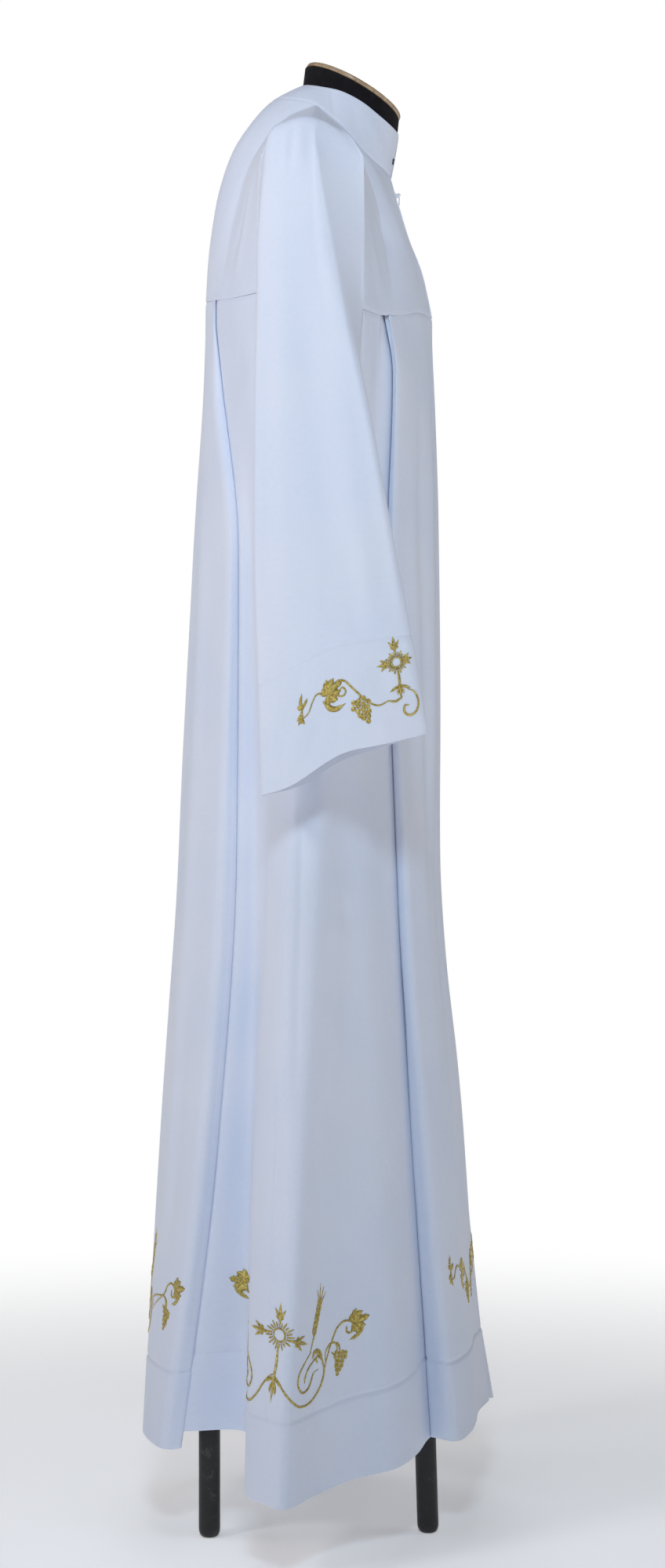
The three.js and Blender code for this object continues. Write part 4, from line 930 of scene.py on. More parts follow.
sleeve_folds = {
    1: [(2.6, -6, [(24, 1412), (36, 1336), (50, 1262), (64, 1187), (80, 1116), (101, 1007),
                   (120, 905)], 0.08),
        (-2.6, 15, [(24, 1290), (25, 1216), (31, 1138), (42, 1050), (54, 950), (58, 860)]),
        (1.7, 12, [(40, 1270), (54, 1170), (68, 1060), (84, 950), (92, 860)]),
        (1.9, 15, [(4, 1360), (-2, 1220), (0, 1080), (4, 960), (8, 850)]),
        (-1.7, 11, [(-14, 1330), (-16, 1180), (-13, 1010), (-8, 880)]),
        (1.3, 5, [(15, 1411), (13, 1385), (9, 1350)], 0.4),
        (-1.2, 5, [(22, 1411), (24, 1380), (22, 1345)], 0.4),
        (1.1, 4, [(2, 1408), (-1, 1380), (-2, 1352)], 0.4),
        (-1.0, 4, [(8, 1410), (6, 1384), (3, 1362)], 0.4),
        (-1.3, 9, [(64, 1010), (74, 930), (80, 880)])],
    -1: [(2.4, -7, [(26, 1411), (40, 1330), (52, 1250), (67, 1170), (84, 1090), (103, 995),
                    (121, 900)], 0.08),
         (-2.3, 14, [(18, 1280), (22, 1190), (30, 1100), (36, 1000), (46, 900)]),
         (1.9, 13, [(36, 1240), (50, 1140), (66, 1030), (78, 930)]),
         (1.6, 14, [(-4, 1340), (-6, 1200), (-6, 1060), (-2, 930)]),
         (-1.5, 12, [(6, 1250), (8, 1120), (14, 990), (20, 880)]),
         (1.2, 5, [(12, 1411), (10, 1384), (12, 1352)], 0.4),
         (-1.2, 5, [(28, 1410), (32, 1376), (30, 1350)], 0.4),
         (1.0, 4, [(-2, 1407), (-6, 1380), (-6, 1356)], 0.4)],
}
cuff_folds = {
    1: [(1.6, -7, [(120, 905), (124, 880), (131, 845), (141, 806)], 0.1),
        (-1.3, 8, [(24, 874), (22, 850), (26, 812)]),
        (1.2, 7, [(34, 838), (26, 812), (16, 786), (4, 762)]), (-1.0, 6, [(46, 822), (40, 806), (30, 790)]),
        (1.0, 9, [(70, 870), (74, 850), (70, 826)]), (-1.1, 8, [(92, 884), (98, 862), (104, 838)]),
        (0.9, 7, [(100, 822), (104, 812), (112, 806)]), (-0.9, 7, [(66, 824), (60, 810), (54, 796)]),
        (-0.7, -2, [(27, 884), (25, 874), (23, 860)], 0.15), (0.9, 7, [(0, 850), (-4, 810), (-6, 770)])],
    -1: [(1.5, -7, [(121, 905), (126, 876), (133, 842), (141, 806)], 0.1),
         (1.2, 8, [(30, 866), (26, 834), (20, 790)]),
         (-1.2, 8, [(52, 872), (56, 846), (50, 812)]), (1.0, 8, [(78, 880), (82, 850), (86, 820)]),
         (-0.7, -2, [(27, 884), (25, 874), (23, 860)], 0.15), (-0.8, 7, [(2, 846), (0, 810), (-2, 772)])],
}
outer_t, inner_t = np.linspace(0, 1, 79), np.linspace(0, 1, 45)
sleeve_stops = np.concatenate([[0, 0.02, 0.05], even_stops(0.1, 5.93, 5.2), [5.96, 5.98, cuff_row]])
under_stops = np.append(arm_row, sleeve_stops[sleeve_stops > arm_row])
cuff_stops = np.concatenate([[cuff_row, 6.02, 6.05], even_stops(6.09, edge_row, 2.4)])


def tube_grids(outer_stops, inner_stops):
    """The outer and inner cloth of a sleeve or cuff, with shared edges."""
    outer = sleeve_rows(sleeve_outer, outer_stops, outer_t)
    inner = sleeve_rows(sleeve_inner, inner_stops - arm_row, inner_t)
    match = sleeve_rows(sleeve_outer, inner_stops, outer_t)
    inner[:, 0], inner[:, -1] = match[:, -1], match[:, 0]
    return outer, inner


def tube(outer, inner, side, lifts):
    """A sleeve or cuff that hangs on one side, closed round the arm."""
    shell = Cloth()
    shell.add(hung(outer, side), side < 0)
    shell.add(hung(inner, side), side < 0)
    shell.weld()
    shell.lift(lifts)
    return shell


cuff_seam_depth, cuff_seam_width = 0.7, 2.0
cuff_grids, cuff_inner_grids = {}, {}
for side, label in [(1, 'right'), (-1, 'left')]:
    outer, inner = tube_grids(sleeve_stops, under_stops)
    joint = sleeve_stops.searchsorted(arm_row)
    outer = np.insert(outer, joint, sleeve_rows(sleeve_outer, np.array([arm_row]), outer_t)[0], axis=0)
    fall, up = from_edge(outer, outer[:1]), from_edge(outer, outer[-1:])
    edge = smooth((outer[..., 1] - shoulder - 0.5) / 16)
    lift = relief(outer[..., 0], outer[..., 2], sleeve_folds[side], edge) * smooth(up / 8)
    lift += seam_dip(fall, 1.0) * edge + seam_dip(up, cuff_seam_depth, cuff_seam_width)
    inner_lift = seam_dip(from_edge(inner, inner[-1:]), cuff_seam_depth, cuff_seam_width)
    sleeve = tube(outer, inner, side, [lift, inner_lift])
    cloth = sleeve.piece('alb_sleeve_' + label, white_cloth, 'sleeve_' + label)
    'alb_yoke_front_' + label

    outer, inner = tube_grids(cuff_stops, cuff_stops)
    fall = from_edge(outer, outer[:1])
    lift = relief(outer[..., 0], outer[..., 2], cuff_folds[side], smooth(fall / 5))
    lift += seam_dip(fall, cuff_seam_depth, cuff_seam_width)
    inner_lift = seam_dip(from_edge(inner, inner[:1]), cuff_seam_depth, cuff_seam_width)
    cuff = tube(outer, inner, side, [lift, inner_lift])
    cloth = cuff.piece('alb_cuff_' + label, white_cloth, 'cuff_' + label, 1.2)
    'alb_sleeve_' + label
    cuff_grids[label], cuff_inner_grids[label] = cuff.grid(0), cuff.grid(1)

# ------------------------------------------------------------------ collar and its hook
# A standing collar of two layers of the twill with a stiff one between them. Its ends meet
# above the zip, where a small dark hook plate is sewn.
collar_t = np.linspace(0, 1, 121)
collar_up = np.concatenate([[0, 0.03, 0.07], np.linspace(0.12, 0.97, 20), [1]])
foot, head = along(neckline, collar_t), along(collar_top, collar_t)
collar = foot[None] * (1 - collar_up[:, None, None]) + head[None] * collar_up[:, None, None]
collar[:, 0, 1] = zip_half
topstitch_depth, topstitch_width = 0.3, 0.9
collar_folds = {
    1: [(0.9, 5, [(70, 1424), (66, 1446), (60, 1470)], 0.4),
        (-0.9, -3, [(26, 1456), (24, 1474), (22, 1492)], 0.2),
        (-0.6, 6, [(50, 1436), (47, 1456), (44, 1480)], 0.4),
        (0.7, 7, [(-12, 1482), (-8, 1496), (-4, 1504)], 0.4)],
    -1: [(0.8, 6, [(66, 1424), (62, 1448), (56, 1472)], 0.4),
         (-0.8, -3, [(26, 1456), (24, 1474), (22, 1492)], 0.2),
         (0.6, 7, [(10, 1472), (10, 1486), (8, 1496)], 0.4)],
}
shell = Cloth()
lifts = []
for side in (1, -1):
    shell.add(world(collar, side), side > 0)
    rise, drop = from_edge(collar, collar[:1]), from_edge(collar, collar[-1:])
    beside = from_edge(collar, collar[:, :1])
    free = smooth(rise / 6) * smooth(beside / 5)
    lift = relief(collar[..., 0], collar[..., 2], collar_folds[side], free)
    lift += seam_dip(rise, 0.8, 1.8) + seam_dip(drop, 0.45, 1.6)
    lift += seam_dip(drop - 5, topstitch_depth, topstitch_width)
    lift += seam_dip(beside - 4, topstitch_depth, topstitch_width)
    lifts.append(lift + 0.6 * np.sin(np.pi * collar_up)[:, None] * smooth(beside / 30))
shell.weld()
shell.lift(lifts)
cloth = shell.piece('alb_collar', white_cloth, 'collar', 1.4)
collar_grids = [shell.grid(0), shell.grid(1)]


def dark_feeds(start):
    rub = start.place().noise(900.0, 4.0)
    colour = rub.ramp((0.35, (0.02, 0.02, 0.025)), (0.75, (0.09, 0.09, 0.1)))
    return {'Base Color': colour, 'Roughness': rub * 0.4 + 0.2}


def squarish(sides, power):
    """A round-cornered square of half width 1. A smaller power makes the corners tighter."""
    turn = angles_round(sides)
    return [np.sign(way) * np.abs(way) ** power for way in (np.cos(turn), np.sin(turn))]


hook_enamel = finish('hook_enamel', dark_feeds, Metallic=0.6)
hook_foot, hook_head = along(neckline, 0.03), along(collar_top, 0.03)
hook_at = hook_foot + (hook_head - hook_foot) * 0.34
hook_tip = math.atan2(hook_head[0] - hook_foot[0], hook_head[2] - hook_foot[2])
hook_rings = []
hook_half_width, hook_half_height = 2.2, 3.0
hook_out, hook_proud = 3.4, 1.45
for y, size in [(0.45, 0.86), (0.3, 1.0), (-0.3, 1.0), (-0.45, 0.86)]:
    x, z = squarish(32, 0.35)
    z = z * hook_half_height * size
    hook_rings.append(np.stack([
        x * hook_half_width * size - hook_out,
        centre_shift - hook_at[0] - hook_proud + y * math.cos(hook_tip) - z * math.sin(hook_tip),
        hook_at[2] + y * math.sin(hook_tip) + z * math.cos(hook_tip)], -1))
hook = outwards(piece('collar_hook_plate', *stacked(hook_rings), hook_enamel, 'hook_metal'), 50)
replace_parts(hook, 'collar_hook')

# ------------------------------------------------------------------ zip
# A white nylon zip down the centre front: two woven tapes, rows of moulded teeth, a slider
# that stays near the collar, and a pull tab that swings on the slider's eye.
zip_heights = np.linspace(940, 1420, 961)
yoke_line = along(centre_front, np.linspace(0, 1, 401))
zip_forward = np.where(zip_heights < seam_front[0][2], skirt_section(0, zip_heights, 1)[:, 0],
                       np.interp(zip_heights, yoke_line[:, 2], yoke_line[:, 0]))


def zip_line(z, depth):
    """Forward place and height on the zip, at a depth inside the cloth's outside."""
    z, step = np.asarray(z, float), 4
    above, below = [np.interp(z + way, zip_heights, zip_forward) for way in (step, -step)]
    slope = (above - below) / (2 * step)
    length = np.hypot(1, slope)
    return np.interp(z, zip_heights, zip_forward) - depth / length, z + depth * slope / length


def nylon_feeds(start):
    weave = start.place().waves('Z', 700.0, 0.5)
    cloudy = start.place().noise(60.0, 3.0)
    colour = cloudy.ramp((0.3, (0.72, 0.75, 0.84)), (0.7, (0.8, 0.82, 0.9)))
    return {'Base Color': colour, 'Roughness': cloudy * 0.2 + 0.35, 'Normal': weave.bump(0.15, 0.0002)}


def moulded_feeds(start):
    cloudy = start.place().noise(500.0, 2.0)
    colour = cloudy.ramp((0.3, (0.76, 0.79, 0.87)), (0.7, (0.82, 0.84, 0.91)))
    return {'Base Color': colour, 'Roughness': cloudy * 0.15 + 0.2}


zip_tape = finish('zip_tape', nylon_feeds)
zip_nylon = finish('zip_nylon', moulded_feeds, Coat_Weight=0.15)
# Half the tape's section: out from the centre line, and in from the cloth's face.
tape_profile = [(0.6, 2.15), (2.4, 1.85), (3.2, 2.3), (11, 3.4), (11, 4.25), (3.2, 3.1), (0.6, 3.0)]
tape_z = np.linspace(1407, 968, 148)
tape_out, tape_depth = np.array(tape_profile).T
for side, label in [(1, 'right'), (-1, 'left')]:
    rings = []
    for z in tape_z:
        forward, height = zip_line(z, tape_depth)
        rings.append(world(np.stack([forward, tape_out, height], -1), side))
    name = 'zip_tape_' + label
    tape = outwards(piece(name + '_cloth', *stacked(rings), zip_tape, 'zip_nylon'), 35)
    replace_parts(tape, name)
    'alb_yoke_front_' + label
    'alb_skirt_front_' + label


def repeated(name, paths, spacing, size, material, segments=8):
    """Small rounded bodies set in a row along paths, as stitches or teeth.

    A path is its points and the cloth's outward directions. A body's length lies along it.
    """
    mesh = bpy.data.meshes.new(name)
    points = np.concatenate([p for p, _ in paths]) / 1000
    ends = np.cumsum([len(p) for p, _ in paths])
    edges = [(k, k + 1) for k in range(len(points) - 1) if k + 1 not in ends]
    mesh.from_pydata(points.tolist(), edges, [])
    mesh.attributes.new('facing', 'FLOAT_VECTOR', 'POINT').data.foreach_set(
        'vector', np.concatenate([n for _, n in paths]).reshape(-1))
    guide = bpy.data.objects.new(name + '_guide', mesh)
    bpy.context.collection.objects.link(guide)
    tree = bpy.data.node_groups.new(name + '_row', 'GeometryNodeTree')
    sockets = {}
    for label, kind in [('Path', 'NodeSocketGeometry'), ('Spacing', 'NodeSocketFloat'),
                        ('Size', 'NodeSocketVector')]:
        sockets[label] = tree.interface.new_socket(label, in_out='INPUT', socket_type=kind).identifier
    tree.interface.new_socket('Row', in_out='OUTPUT', socket_type='NodeSocketGeometry')

    def node(kind, settings=None, **inputs):
        made = tree.nodes.new(kind)
        for key, value in (settings or {}).items():
            setattr(made, key, value)
        for key, value in inputs.items():
            socket = made.inputs[key.replace('_', ' ')]
            if isinstance(value, bpy.types.NodeSocket):
                tree.links.new(value, socket)
            else:
                socket.default_value = value
        return made

    given = node('NodeGroupInput').outputs
    line = node('GeometryNodeMeshToCurve', Mesh=given['Path']).outputs[0]
    dots = node('GeometryNodeResampleCurve', {'mode': 'LENGTH'}, Curve=line,
                Length=given['Spacing']).outputs[0]
    tangent = node('GeometryNodeInputTangent').outputs[0]
    facing = node('GeometryNodeInputNamedAttribute', {'data_type': 'FLOAT_VECTOR'}, Name='facing').outputs[0]
    turned = node('FunctionNodeAlignRotationToVector', {'axis': 'X'}, Vector=tangent).outputs[0]
    faced = node('FunctionNodeAlignRotationToVector', {'axis': 'Z', 'pivot_axis': 'X'}, Rotation=turned,
                 Vector=facing).outputs[0]
    bead = node('GeometryNodeMeshUVSphere', Segments=segments, Rings=segments // 2 + 1, Radius=0.5).outputs[0]
    bead = node('GeometryNodeSetShadeSmooth', Geometry=bead).outputs[0]
    row = node('GeometryNodeInstanceOnPoints', Points=dots, Instance=bead, Rotation=faced,
               Scale=given['Size']).outputs[0]
    row = node('GeometryNodeRealizeInstances', Geometry=row).outputs[0]
    row = node('GeometryNodeSetMaterial', Geometry=row, Material=material).outputs[0]
    tree.links.new(row, node('NodeGroupOutput').inputs[0])

    maker = guide.modifiers.new('row', 'NODES')
    maker.node_group = tree
    maker[sockets['Spacing']] = spacing / 1000
    maker[sockets['Size']] = [s / 1000 for s in size]
    grown = bpy.data.meshes.new_from_object(guide.evaluated_get(bpy.context.evaluated_depsgraph_get()))
    guide.modifiers.clear()
    bpy.data.objects.remove(guide)
    grown.name = name
    return shown(name, grown, material)


teeth_paths = []
for side, start in [(1, 0), (-1, 0.8)]:
    z = np.arange(969 + start, 1404, 1.0)
    parted = 0.55 + 0.55 * smooth((z - 1399) / 5)
    forward, height = zip_line(z, 1.15)
    ahead = np.tile([0.0, -1.0, 0.0], (len(z), 1))
    teeth_paths.append((world(np.stack([forward, parted, height], -1), side), ahead))
repeated('zip_teeth', teeth_paths, 1.6, (1.25, 2.9, 1.7), zip_nylon)


def framed(outline, hole, half, soft, steps=96):
    """A flat body with one hole, from the corners of both outlines, with softened edges."""
    hole = np.asarray(hole, float)
    middle = hole.mean(0)
    angles = angles_round(steps)
    ray = np.stack([np.cos(angles), np.sin(angles)], -1)

    def hits(corners, inset):
        """Where rays from the middle meet an outline that is set in by some way."""
        corners = np.asarray(corners, float)
        found, beyond = np.zeros(steps), 0.35
        for a, b in zip(corners, np.roll(corners, -1, axis=0)):
            edge = b - a
            out = np.array([edge[1], -edge[0]]) / np.hypot(*edge)
            out *= np.sign(out @ (a - middle)) or 1
            facing = ray @ out
            with np.errstate(divide='ignore', invalid='ignore'):
                reach = (out @ (a - middle) - inset) / facing
                place = middle + ray * reach[:, None]
                along_edge = (place - a) @ edge / (edge @ edge)
            ok = (facing > 1e-6) & (along_edge > -beyond) & (along_edge < 1 + beyond)
            found = np.where(ok & ((found == 0) | (reach < found)), reach, found)
        return middle + ray * found[:, None]

    rings = []
    for corners, inset, height in [(outline, 0, half - soft), (outline, soft, half), (hole, -soft, half),
                                   (hole, 0, half - soft), (hole, 0, soft - half), (hole, -soft, -half),
                                   (outline, soft, -half), (outline, 0, soft - half)]:
        ring = hits(corners, inset)
        rings.append(np.concatenate([ring, np.full((steps, 1), height)], axis=1))
    faces = []
    for r in range(len(rings)):
        here, there = r * steps, (r + 1) % len(rings) * steps
        for k in range(steps):
            beside = (k + 1) % steps
            faces.append((here + k, here + beside, there + beside, there + k))
    return np.concatenate(rings), faces


slider_z, slider_span, slider_sunk = 1397, 6, 0.3
slider_forward, slider_height = zip_line(slider_z, 0)
low, high = zip_line(slider_z - slider_span, 0)[0], zip_line(slider_z + slider_span, 0)[0]
zip_tip = math.atan2(low - high, 2 * slider_span)
slider_half_width, slider_half_height = 2.7, 4.25
eye_out, eye_radius, eye_hole_radius = 4.3, 1.55, 0.8


def on_slider(points):
    """From across, away from the cloth and up the zip, to the stand's own frame."""
    across, away, up = np.asarray(points, float).T
    y = centre_shift - slider_forward + slider_sunk
    return np.stack([across, y - away * math.cos(zip_tip) + up * math.sin(zip_tip),
                     slider_height + away * math.sin(zip_tip) + up * math.cos(zip_tip)], -1)


slider_rings = []
for away, size in [(-1.0, 0.88), (-0.8, 0.97), (-0.3, 1.0), (0.1, 1.0), (0.45, 0.95), (0.6, 0.84)]:
    across, up = squarish(48, 0.5)
    up = up * slider_half_height * size
    waist = 0.86 + 0.14 * smooth((up + 1) / 4)
    across = across * slider_half_width * size * waist
    slider_rings.append(on_slider(np.stack([across, np.full(len(up), away), up], -1)))
slider_body = outwards(piece('zip_slider_body', *stacked(slider_rings), zip_nylon, 'zip_nylon'), 40)
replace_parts(slider_body, 'zip_slider')
bow_end = [(eye_out + eye_radius * math.cos(a), eye_radius * math.sin(a))
           for a in np.linspace(-np.pi / 2, np.pi / 2, 15)]
bow = [(-0.2, -2.6), (1.6, -2.4), (3.4, -1.5), *bow_end, (3.4, 1.5), (1.6, 2.4), (-0.2, 2.6)]
eye_hole = [(eye_out + eye_hole_radius * math.cos(a), eye_hole_radius * math.sin(a))
            for a in angles_round(24)]
points, faces = framed(bow, eye_hole, 0.8, 0.2)
eye = outwards(piece('zip_slider_eye', on_slider(points[:, [2, 0, 1]]), faces, zip_nylon, 'zip_nylon'), 40)
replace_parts(eye, 'zip_slider')

hinge = on_slider([(0, eye_out, 0)])[0]
tab_outline = [(-1.9, 0.5), (-2.1, 0.1), (-1.6, -10), (-1.3, -10.6), (-0.8, -11), (0.8, -11), (1.3, -10.6),
               (1.6, -10), (2.1, 0.1), (1.9, 0.5)]
tab_window = [(-1.15, -0.5), (1.15, -0.5), (1.15, -3.1), (-1.15, -3.1)]
points, faces = framed(tab_outline, tab_window, 0.5, 0.15)
pull = outwards(piece('zip_pull_tab', points[:, [0, 2, 1]] + hinge, faces, zip_nylon, 'zip_nylon',
                      body='pull_tab'), 40)
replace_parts(pull, 'zip_pull')
grip_half_width, grip_half_height = 1.0, 0.34
grip_profile = [(-0.62, 0.7), (-0.56, 0.95), (-0.3, 1.0), (0.3, 1.0), (0.56, 0.95), (0.62, 0.7)]
turn = angles_round(48)
ring = np.stack([grip_half_width * np.cos(turn), np.zeros(len(turn)), grip_half_height * np.sin(turn)], -1)
for letter, up in [('a', -5.2), ('b', -6.6), ('c', -8.0)]:
    rings = [ring * [size, 1, size] + [0, away, up] + hinge for away, size in grip_profile]
    grip = piece('zip_pull_grip_' + letter, *stacked(rings), zip_nylon, 'zip_nylon', body='pull_tab')
    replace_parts(outwards(grip, 50), 'zip_pull')

# ------------------------------------------------------------------ stitching
# White thread: a row holds up the deep hem, others close the yokes, the collar, the armholes
# and the cuffs, and two rows run down beside the zip.
stitch_size, stitch_gap = (2.5, 0.6, 0.42), 3.5


def thread_feeds(start):
    twist = start.place().noise(900.0, 2.0)
    colour = twist.ramp((0.3, (0.66, 0.70, 0.82)), (0.7, (0.8, 0.82, 0.9)))
    return {'Base Color': colour, 'Roughness': twist * 0.2 + 0.4}


thread_white = finish('thread_white', thread_feeds)


class Ground:
    """Cloth seen as a flat strip, in millimetres: a runs along it, h stands above its lower edge."""
    step = 2.0

    def __init__(self, points, normals, top, level):
        steps = np.linalg.norm(np.diff(points, axis=0), axis=2)
        above = np.concatenate([steps[::-1].cumsum(0)[::-1], np.zeros((1, points.shape[1]))])[::-1]
        both = np.concatenate([points, normals], axis=2)[::-1]
        heights = np.arange(0, top, self.step)
        columns = [[np.interp(heights, above[:, c], both[:, c, k]) for k in range(6)]
                   for c in range(points.shape[1])]
        self.table = np.array(columns).transpose(2, 0, 1)
        row = self.table[int(level / self.step), :, :3]
        self.run = np.append(0, np.linalg.norm(np.diff(row, axis=0), axis=1).cumsum())

    def at(self, places, lift=0.0):
        """Points above the cloth, and the cloth's outward directions, at places (a, h)."""
        places = np.asarray(places, float)
        c = np.interp(places[..., 0] % self.run[-1], self.run, np.arange(len(self.run)))
        r = np.clip(places[..., 1] / self.step, 0, len(self.table) - 1.001)
        i, j = r.astype(int), np.minimum(c.astype(int), len(self.run) - 2)
        u, v = (r - i)[..., None], (c - j)[..., None]
        mixed = ((self.table[i, j] * (1 - u) + self.table[i + 1, j] * u) * (1 - v)
                 + (self.table[i, j + 1] * (1 - u) + self.table[i + 1, j + 1] * u) * v)
        facing = mixed[..., 3:] / np.linalg.norm(mixed[..., 3:], axis=-1, keepdims=True)
        return mixed[..., :3] + facing * np.asarray(lift, float)[..., None], facing


back_halves = [[part.transpose(1, 0, 2) for part in back_shell.grid(k)] for k in (0, 1)]
hem_ring = [np.concatenate([ring_parts[0][k + 1], back_halves[0][k], back_halves[1][k][:, ::-1],
                            ring_parts[1][k + 1][:, ::-1]], axis=1) for k in (0, 1)]
hem_ground = Ground(*hem_ring, 262, 150)
hem_run = np.arange(0, hem_ground.run[-1], 3.0)
seam_rows = [hem_ground.at(np.stack([hem_run, np.full(len(hem_run), hem_deep)], -1), 0.1)]
for label in ('right', 'left'):
    front, facing = yoke_grids[label]
    seam_rows.append((front[2], facing[2]))
    seam_rows += [(front[3:-2, column], facing[3:-2, column]) for column in (2, -2)]
    outer, inner = cuff_grids[label], cuff_inner_grids[label]
    seam_rows += [(outer[0][1], outer[1][1]), (inner[0][1], inner[1][1])]
    front, facing = ring_parts[label == 'left'][1:]
    seam_rows.append((front[6:42, 1], facing[6:42, 1]))
for points, facing in yoke_back_grids:
    seam_rows += [(points[2], facing[2]), (points[3:-2, -2], facing[3:-2, -2])]
for points, facing in collar_grids:
    seam_rows += [(points[20, 2:], facing[20, 2:]), (points[2:21, 2], facing[2:21, 2])]
repeated('seam_stitches', seam_rows, stitch_gap, stitch_size, thread_white, 6)

# ------------------------------------------------------------------ embroidery
# Machine satin stitch in bright gold thread, raised a little from the cloth: rayed crosses with
# vines, wheat, grapes and leaves round the skirt above its hem, and a smaller spray on each cuff.


def gold_feeds(start):
    run = start.node('ShaderNodeAttribute', {'attribute_name': 'run'}, out=2)
    threads = start.node('ShaderNodeCombineXYZ', {}, {'X': run}).waves('X', 0.45, 0.0)
    glitter = start.place().noise(620.0, 3.0)
    colour = (glitter * 0.75 + threads * 0.25).ramp(
        (0.34, (0.25, 0.17, 0.025)), (0.5, (0.48, 0.36, 0.07)), (0.68, (0.86, 0.74, 0.28)))
    return {'Base Color': colour, 'Roughness': glitter * 0.3 + 0.18,
            'Normal': (threads + glitter * 0.5).bump(0.5, 0.0003)}


gold_thread = finish('gold_thread', gold_feeds, Metallic=0.62)


class Embroidery:
    """Satin-stitched strokes and berries that lie on a strip of cloth."""
    spread, least_rise, most_rise = 0.45, 0.06, 0.85

    def __init__(self, ground, origin, mirror, extra=0.0):
        self.ground, self.origin, self.mirror = ground, np.array(origin, float), mirror
        self.extra = extra
        self.parts = []

    def place(self, points):
        """Places on the cloth from places in the drawing."""
        points = np.asarray(points, float)
        stretch_from, stretch_over = 64, 12
        x = points[..., 0] + self.extra * smooth((points[..., 0] - stretch_from) / stretch_over)
        return self.origin + np.stack([self.mirror * x, points[..., 1]], -1)

    def stroke(self, line, width, start=0.2, end=0.2):
        """A band of thread along a line, with its width shared out at the two ends."""
        line = self.place(line)
        length = np.linalg.norm(np.diff(line, axis=0), axis=1).sum()
        t = np.linspace(0, 1, max(5, math.ceil(length / 1.5)) + 1)
        middle = along(line, t) if len(line) > 2 else line[0] + (line[1] - line[0]) * t[:, None]
        way = np.gradient(middle, axis=0)
        way /= np.linalg.norm(way, axis=1, keepdims=True)
        across = np.stack([-way[:, 1], way[:, 0]], -1)
        growing = start + (1 - start) * smooth(t / 0.3)
        dying = end + (1 - end) * smooth((1 - t) / 0.3)
        half = (width + self.spread) / 2 * growing * dying
        height = np.minimum(self.most_rise, half * 0.8)
        rings = [self.ground.at(middle + across * (half * x)[:, None], self.least_rise + y * height)[0]
                 for x, y in [(-1, 0), (-0.62, 0.75), (0, 1), (0.62, 0.75), (1, 0)]]
        rings.append(self.ground.at(middle, np.full(len(t), -0.25))[0])
        run = np.append(np.repeat(t * length, 6), [0, length])
        self.parts.append((*stacked(np.stack(rings, 1)), run))

    def berry(self, x, y, radius):
        """One raised round berry."""
        centre = self.place([x, y])
        spin = angles_round(12)
        circle = np.stack([np.cos(spin), np.sin(spin)], -1) * radius
        rings = [self.ground.at(centre + circle * size, np.full(len(spin), lift))[0]
                 for size, lift in [(1, -0.2), (1, 0.15), (0.86, 0.6), (0.55, 0.95), (0.2, 1.1)]]
        run = np.append(np.tile(circle[:, 1], 5), [0, 0]) + 40
        self.parts.append((*stacked(rings), run))

    def leaf(self, x, y, size, turn, spread=105, lobes=7):
        """A leaf of pointed lobes fanned out from its stalk, with its direction in degrees."""
        for k, swing in enumerate(np.linspace(-spread, spread, lobes)):
            angle = math.radians(turn + swing)
            reach = size * (1 - 0.34 * abs(swing) / spread) * (1 if k % 2 else 0.86)
            bend = 0.16 * reach * np.sign(swing)
            tip = (x + reach * math.cos(angle), y + reach * math.sin(angle))
            middle = (x + 0.55 * reach * math.cos(angle) - bend * math.sin(angle) * 0.6,
                      y + 0.55 * reach * math.sin(angle) + bend * math.cos(angle) * 0.6)
            self.stroke([(x, y), middle, tip], size * 0.36, 0.35, 0.12)

    def grapes(self, x, y, turn, rows, radius=2.3):
        """A bunch that hangs in a direction in degrees, from the number of berries in each row."""
        down = np.array([math.cos(math.radians(turn)), math.sin(math.radians(turn))])
        beside = np.array([-down[1], down[0]])
        for k, count in enumerate(rows):
            for j in range(count):
                spot = (x, y) + down * k * radius * 1.72 + beside * (j - (count - 1) / 2) * radius * 1.95
                self.berry(*(spot + 0.35 * np.array([math.sin(5 * k + j), math.cos(3 * j + k)])), radius)

    def rayed_cross(self, tips, foot, ring, wide=1.0):
        """A small ring with rays, three arms with fleur ends, and a long foot."""
        spin = np.linspace(0, 2 * np.pi, 25)
        self.stroke(np.stack([ring * wide * np.cos(spin), ring * np.sin(spin)], -1), 1.6, 1, 1)
        for k in range(22):
            angle = 2 * math.pi * (k + 0.5) / 22
            ray = np.array([wide * math.cos(angle), math.sin(angle)])
            self.stroke([ray * ring * 1.25, ray * ring * (2.3 if k % 2 else 1.95)], 1.35, 0.9, 0.6)
        for tip in tips:
            tip = np.array(tip, float)
            beside = np.array([-tip[1], tip[0]]) / np.linalg.norm(tip)
            self.stroke([tip * 0.3, tip * 0.62, tip], ring * 0.5, 0.5, 0.08)
            for hand in (-1, 1):
                self.stroke([tip * 0.52, tip * 0.6 + beside * hand * ring * 0.42,
                             tip * 0.8 + beside * hand * ring * 1.15], ring * 0.46, 0.4, 0.1)
                self.stroke([tip * 0.54, tip * 0.5 + beside * hand * ring * 0.4,
                             tip * 0.56 + beside * hand * ring * 0.85], ring * 0.3, 0.5, 0.2)
        foot = np.array(foot, float)
        beside = np.array([-foot[1], foot[0]]) / np.linalg.norm(foot)
        self.stroke([foot * 0.16, foot * 0.4 + beside * 0.6, foot * 0.64, foot * 0.84, foot],
                    ring * 0.44, 0.7, 0.08)
        for hand in (-1, 1):
            self.stroke([foot * 0.63, foot * 0.66 + beside * hand * ring * 0.8,
                         foot * 0.74 + beside * hand * ring * 2.1], ring * 0.5, 0.4, 0.08)
            self.stroke([foot * 0.66, foot * 0.76 + beside * hand * ring * 0.5,
                         foot * 0.86 + beside * hand * ring * 0.6], ring * 0.36, 0.5, 0.12)

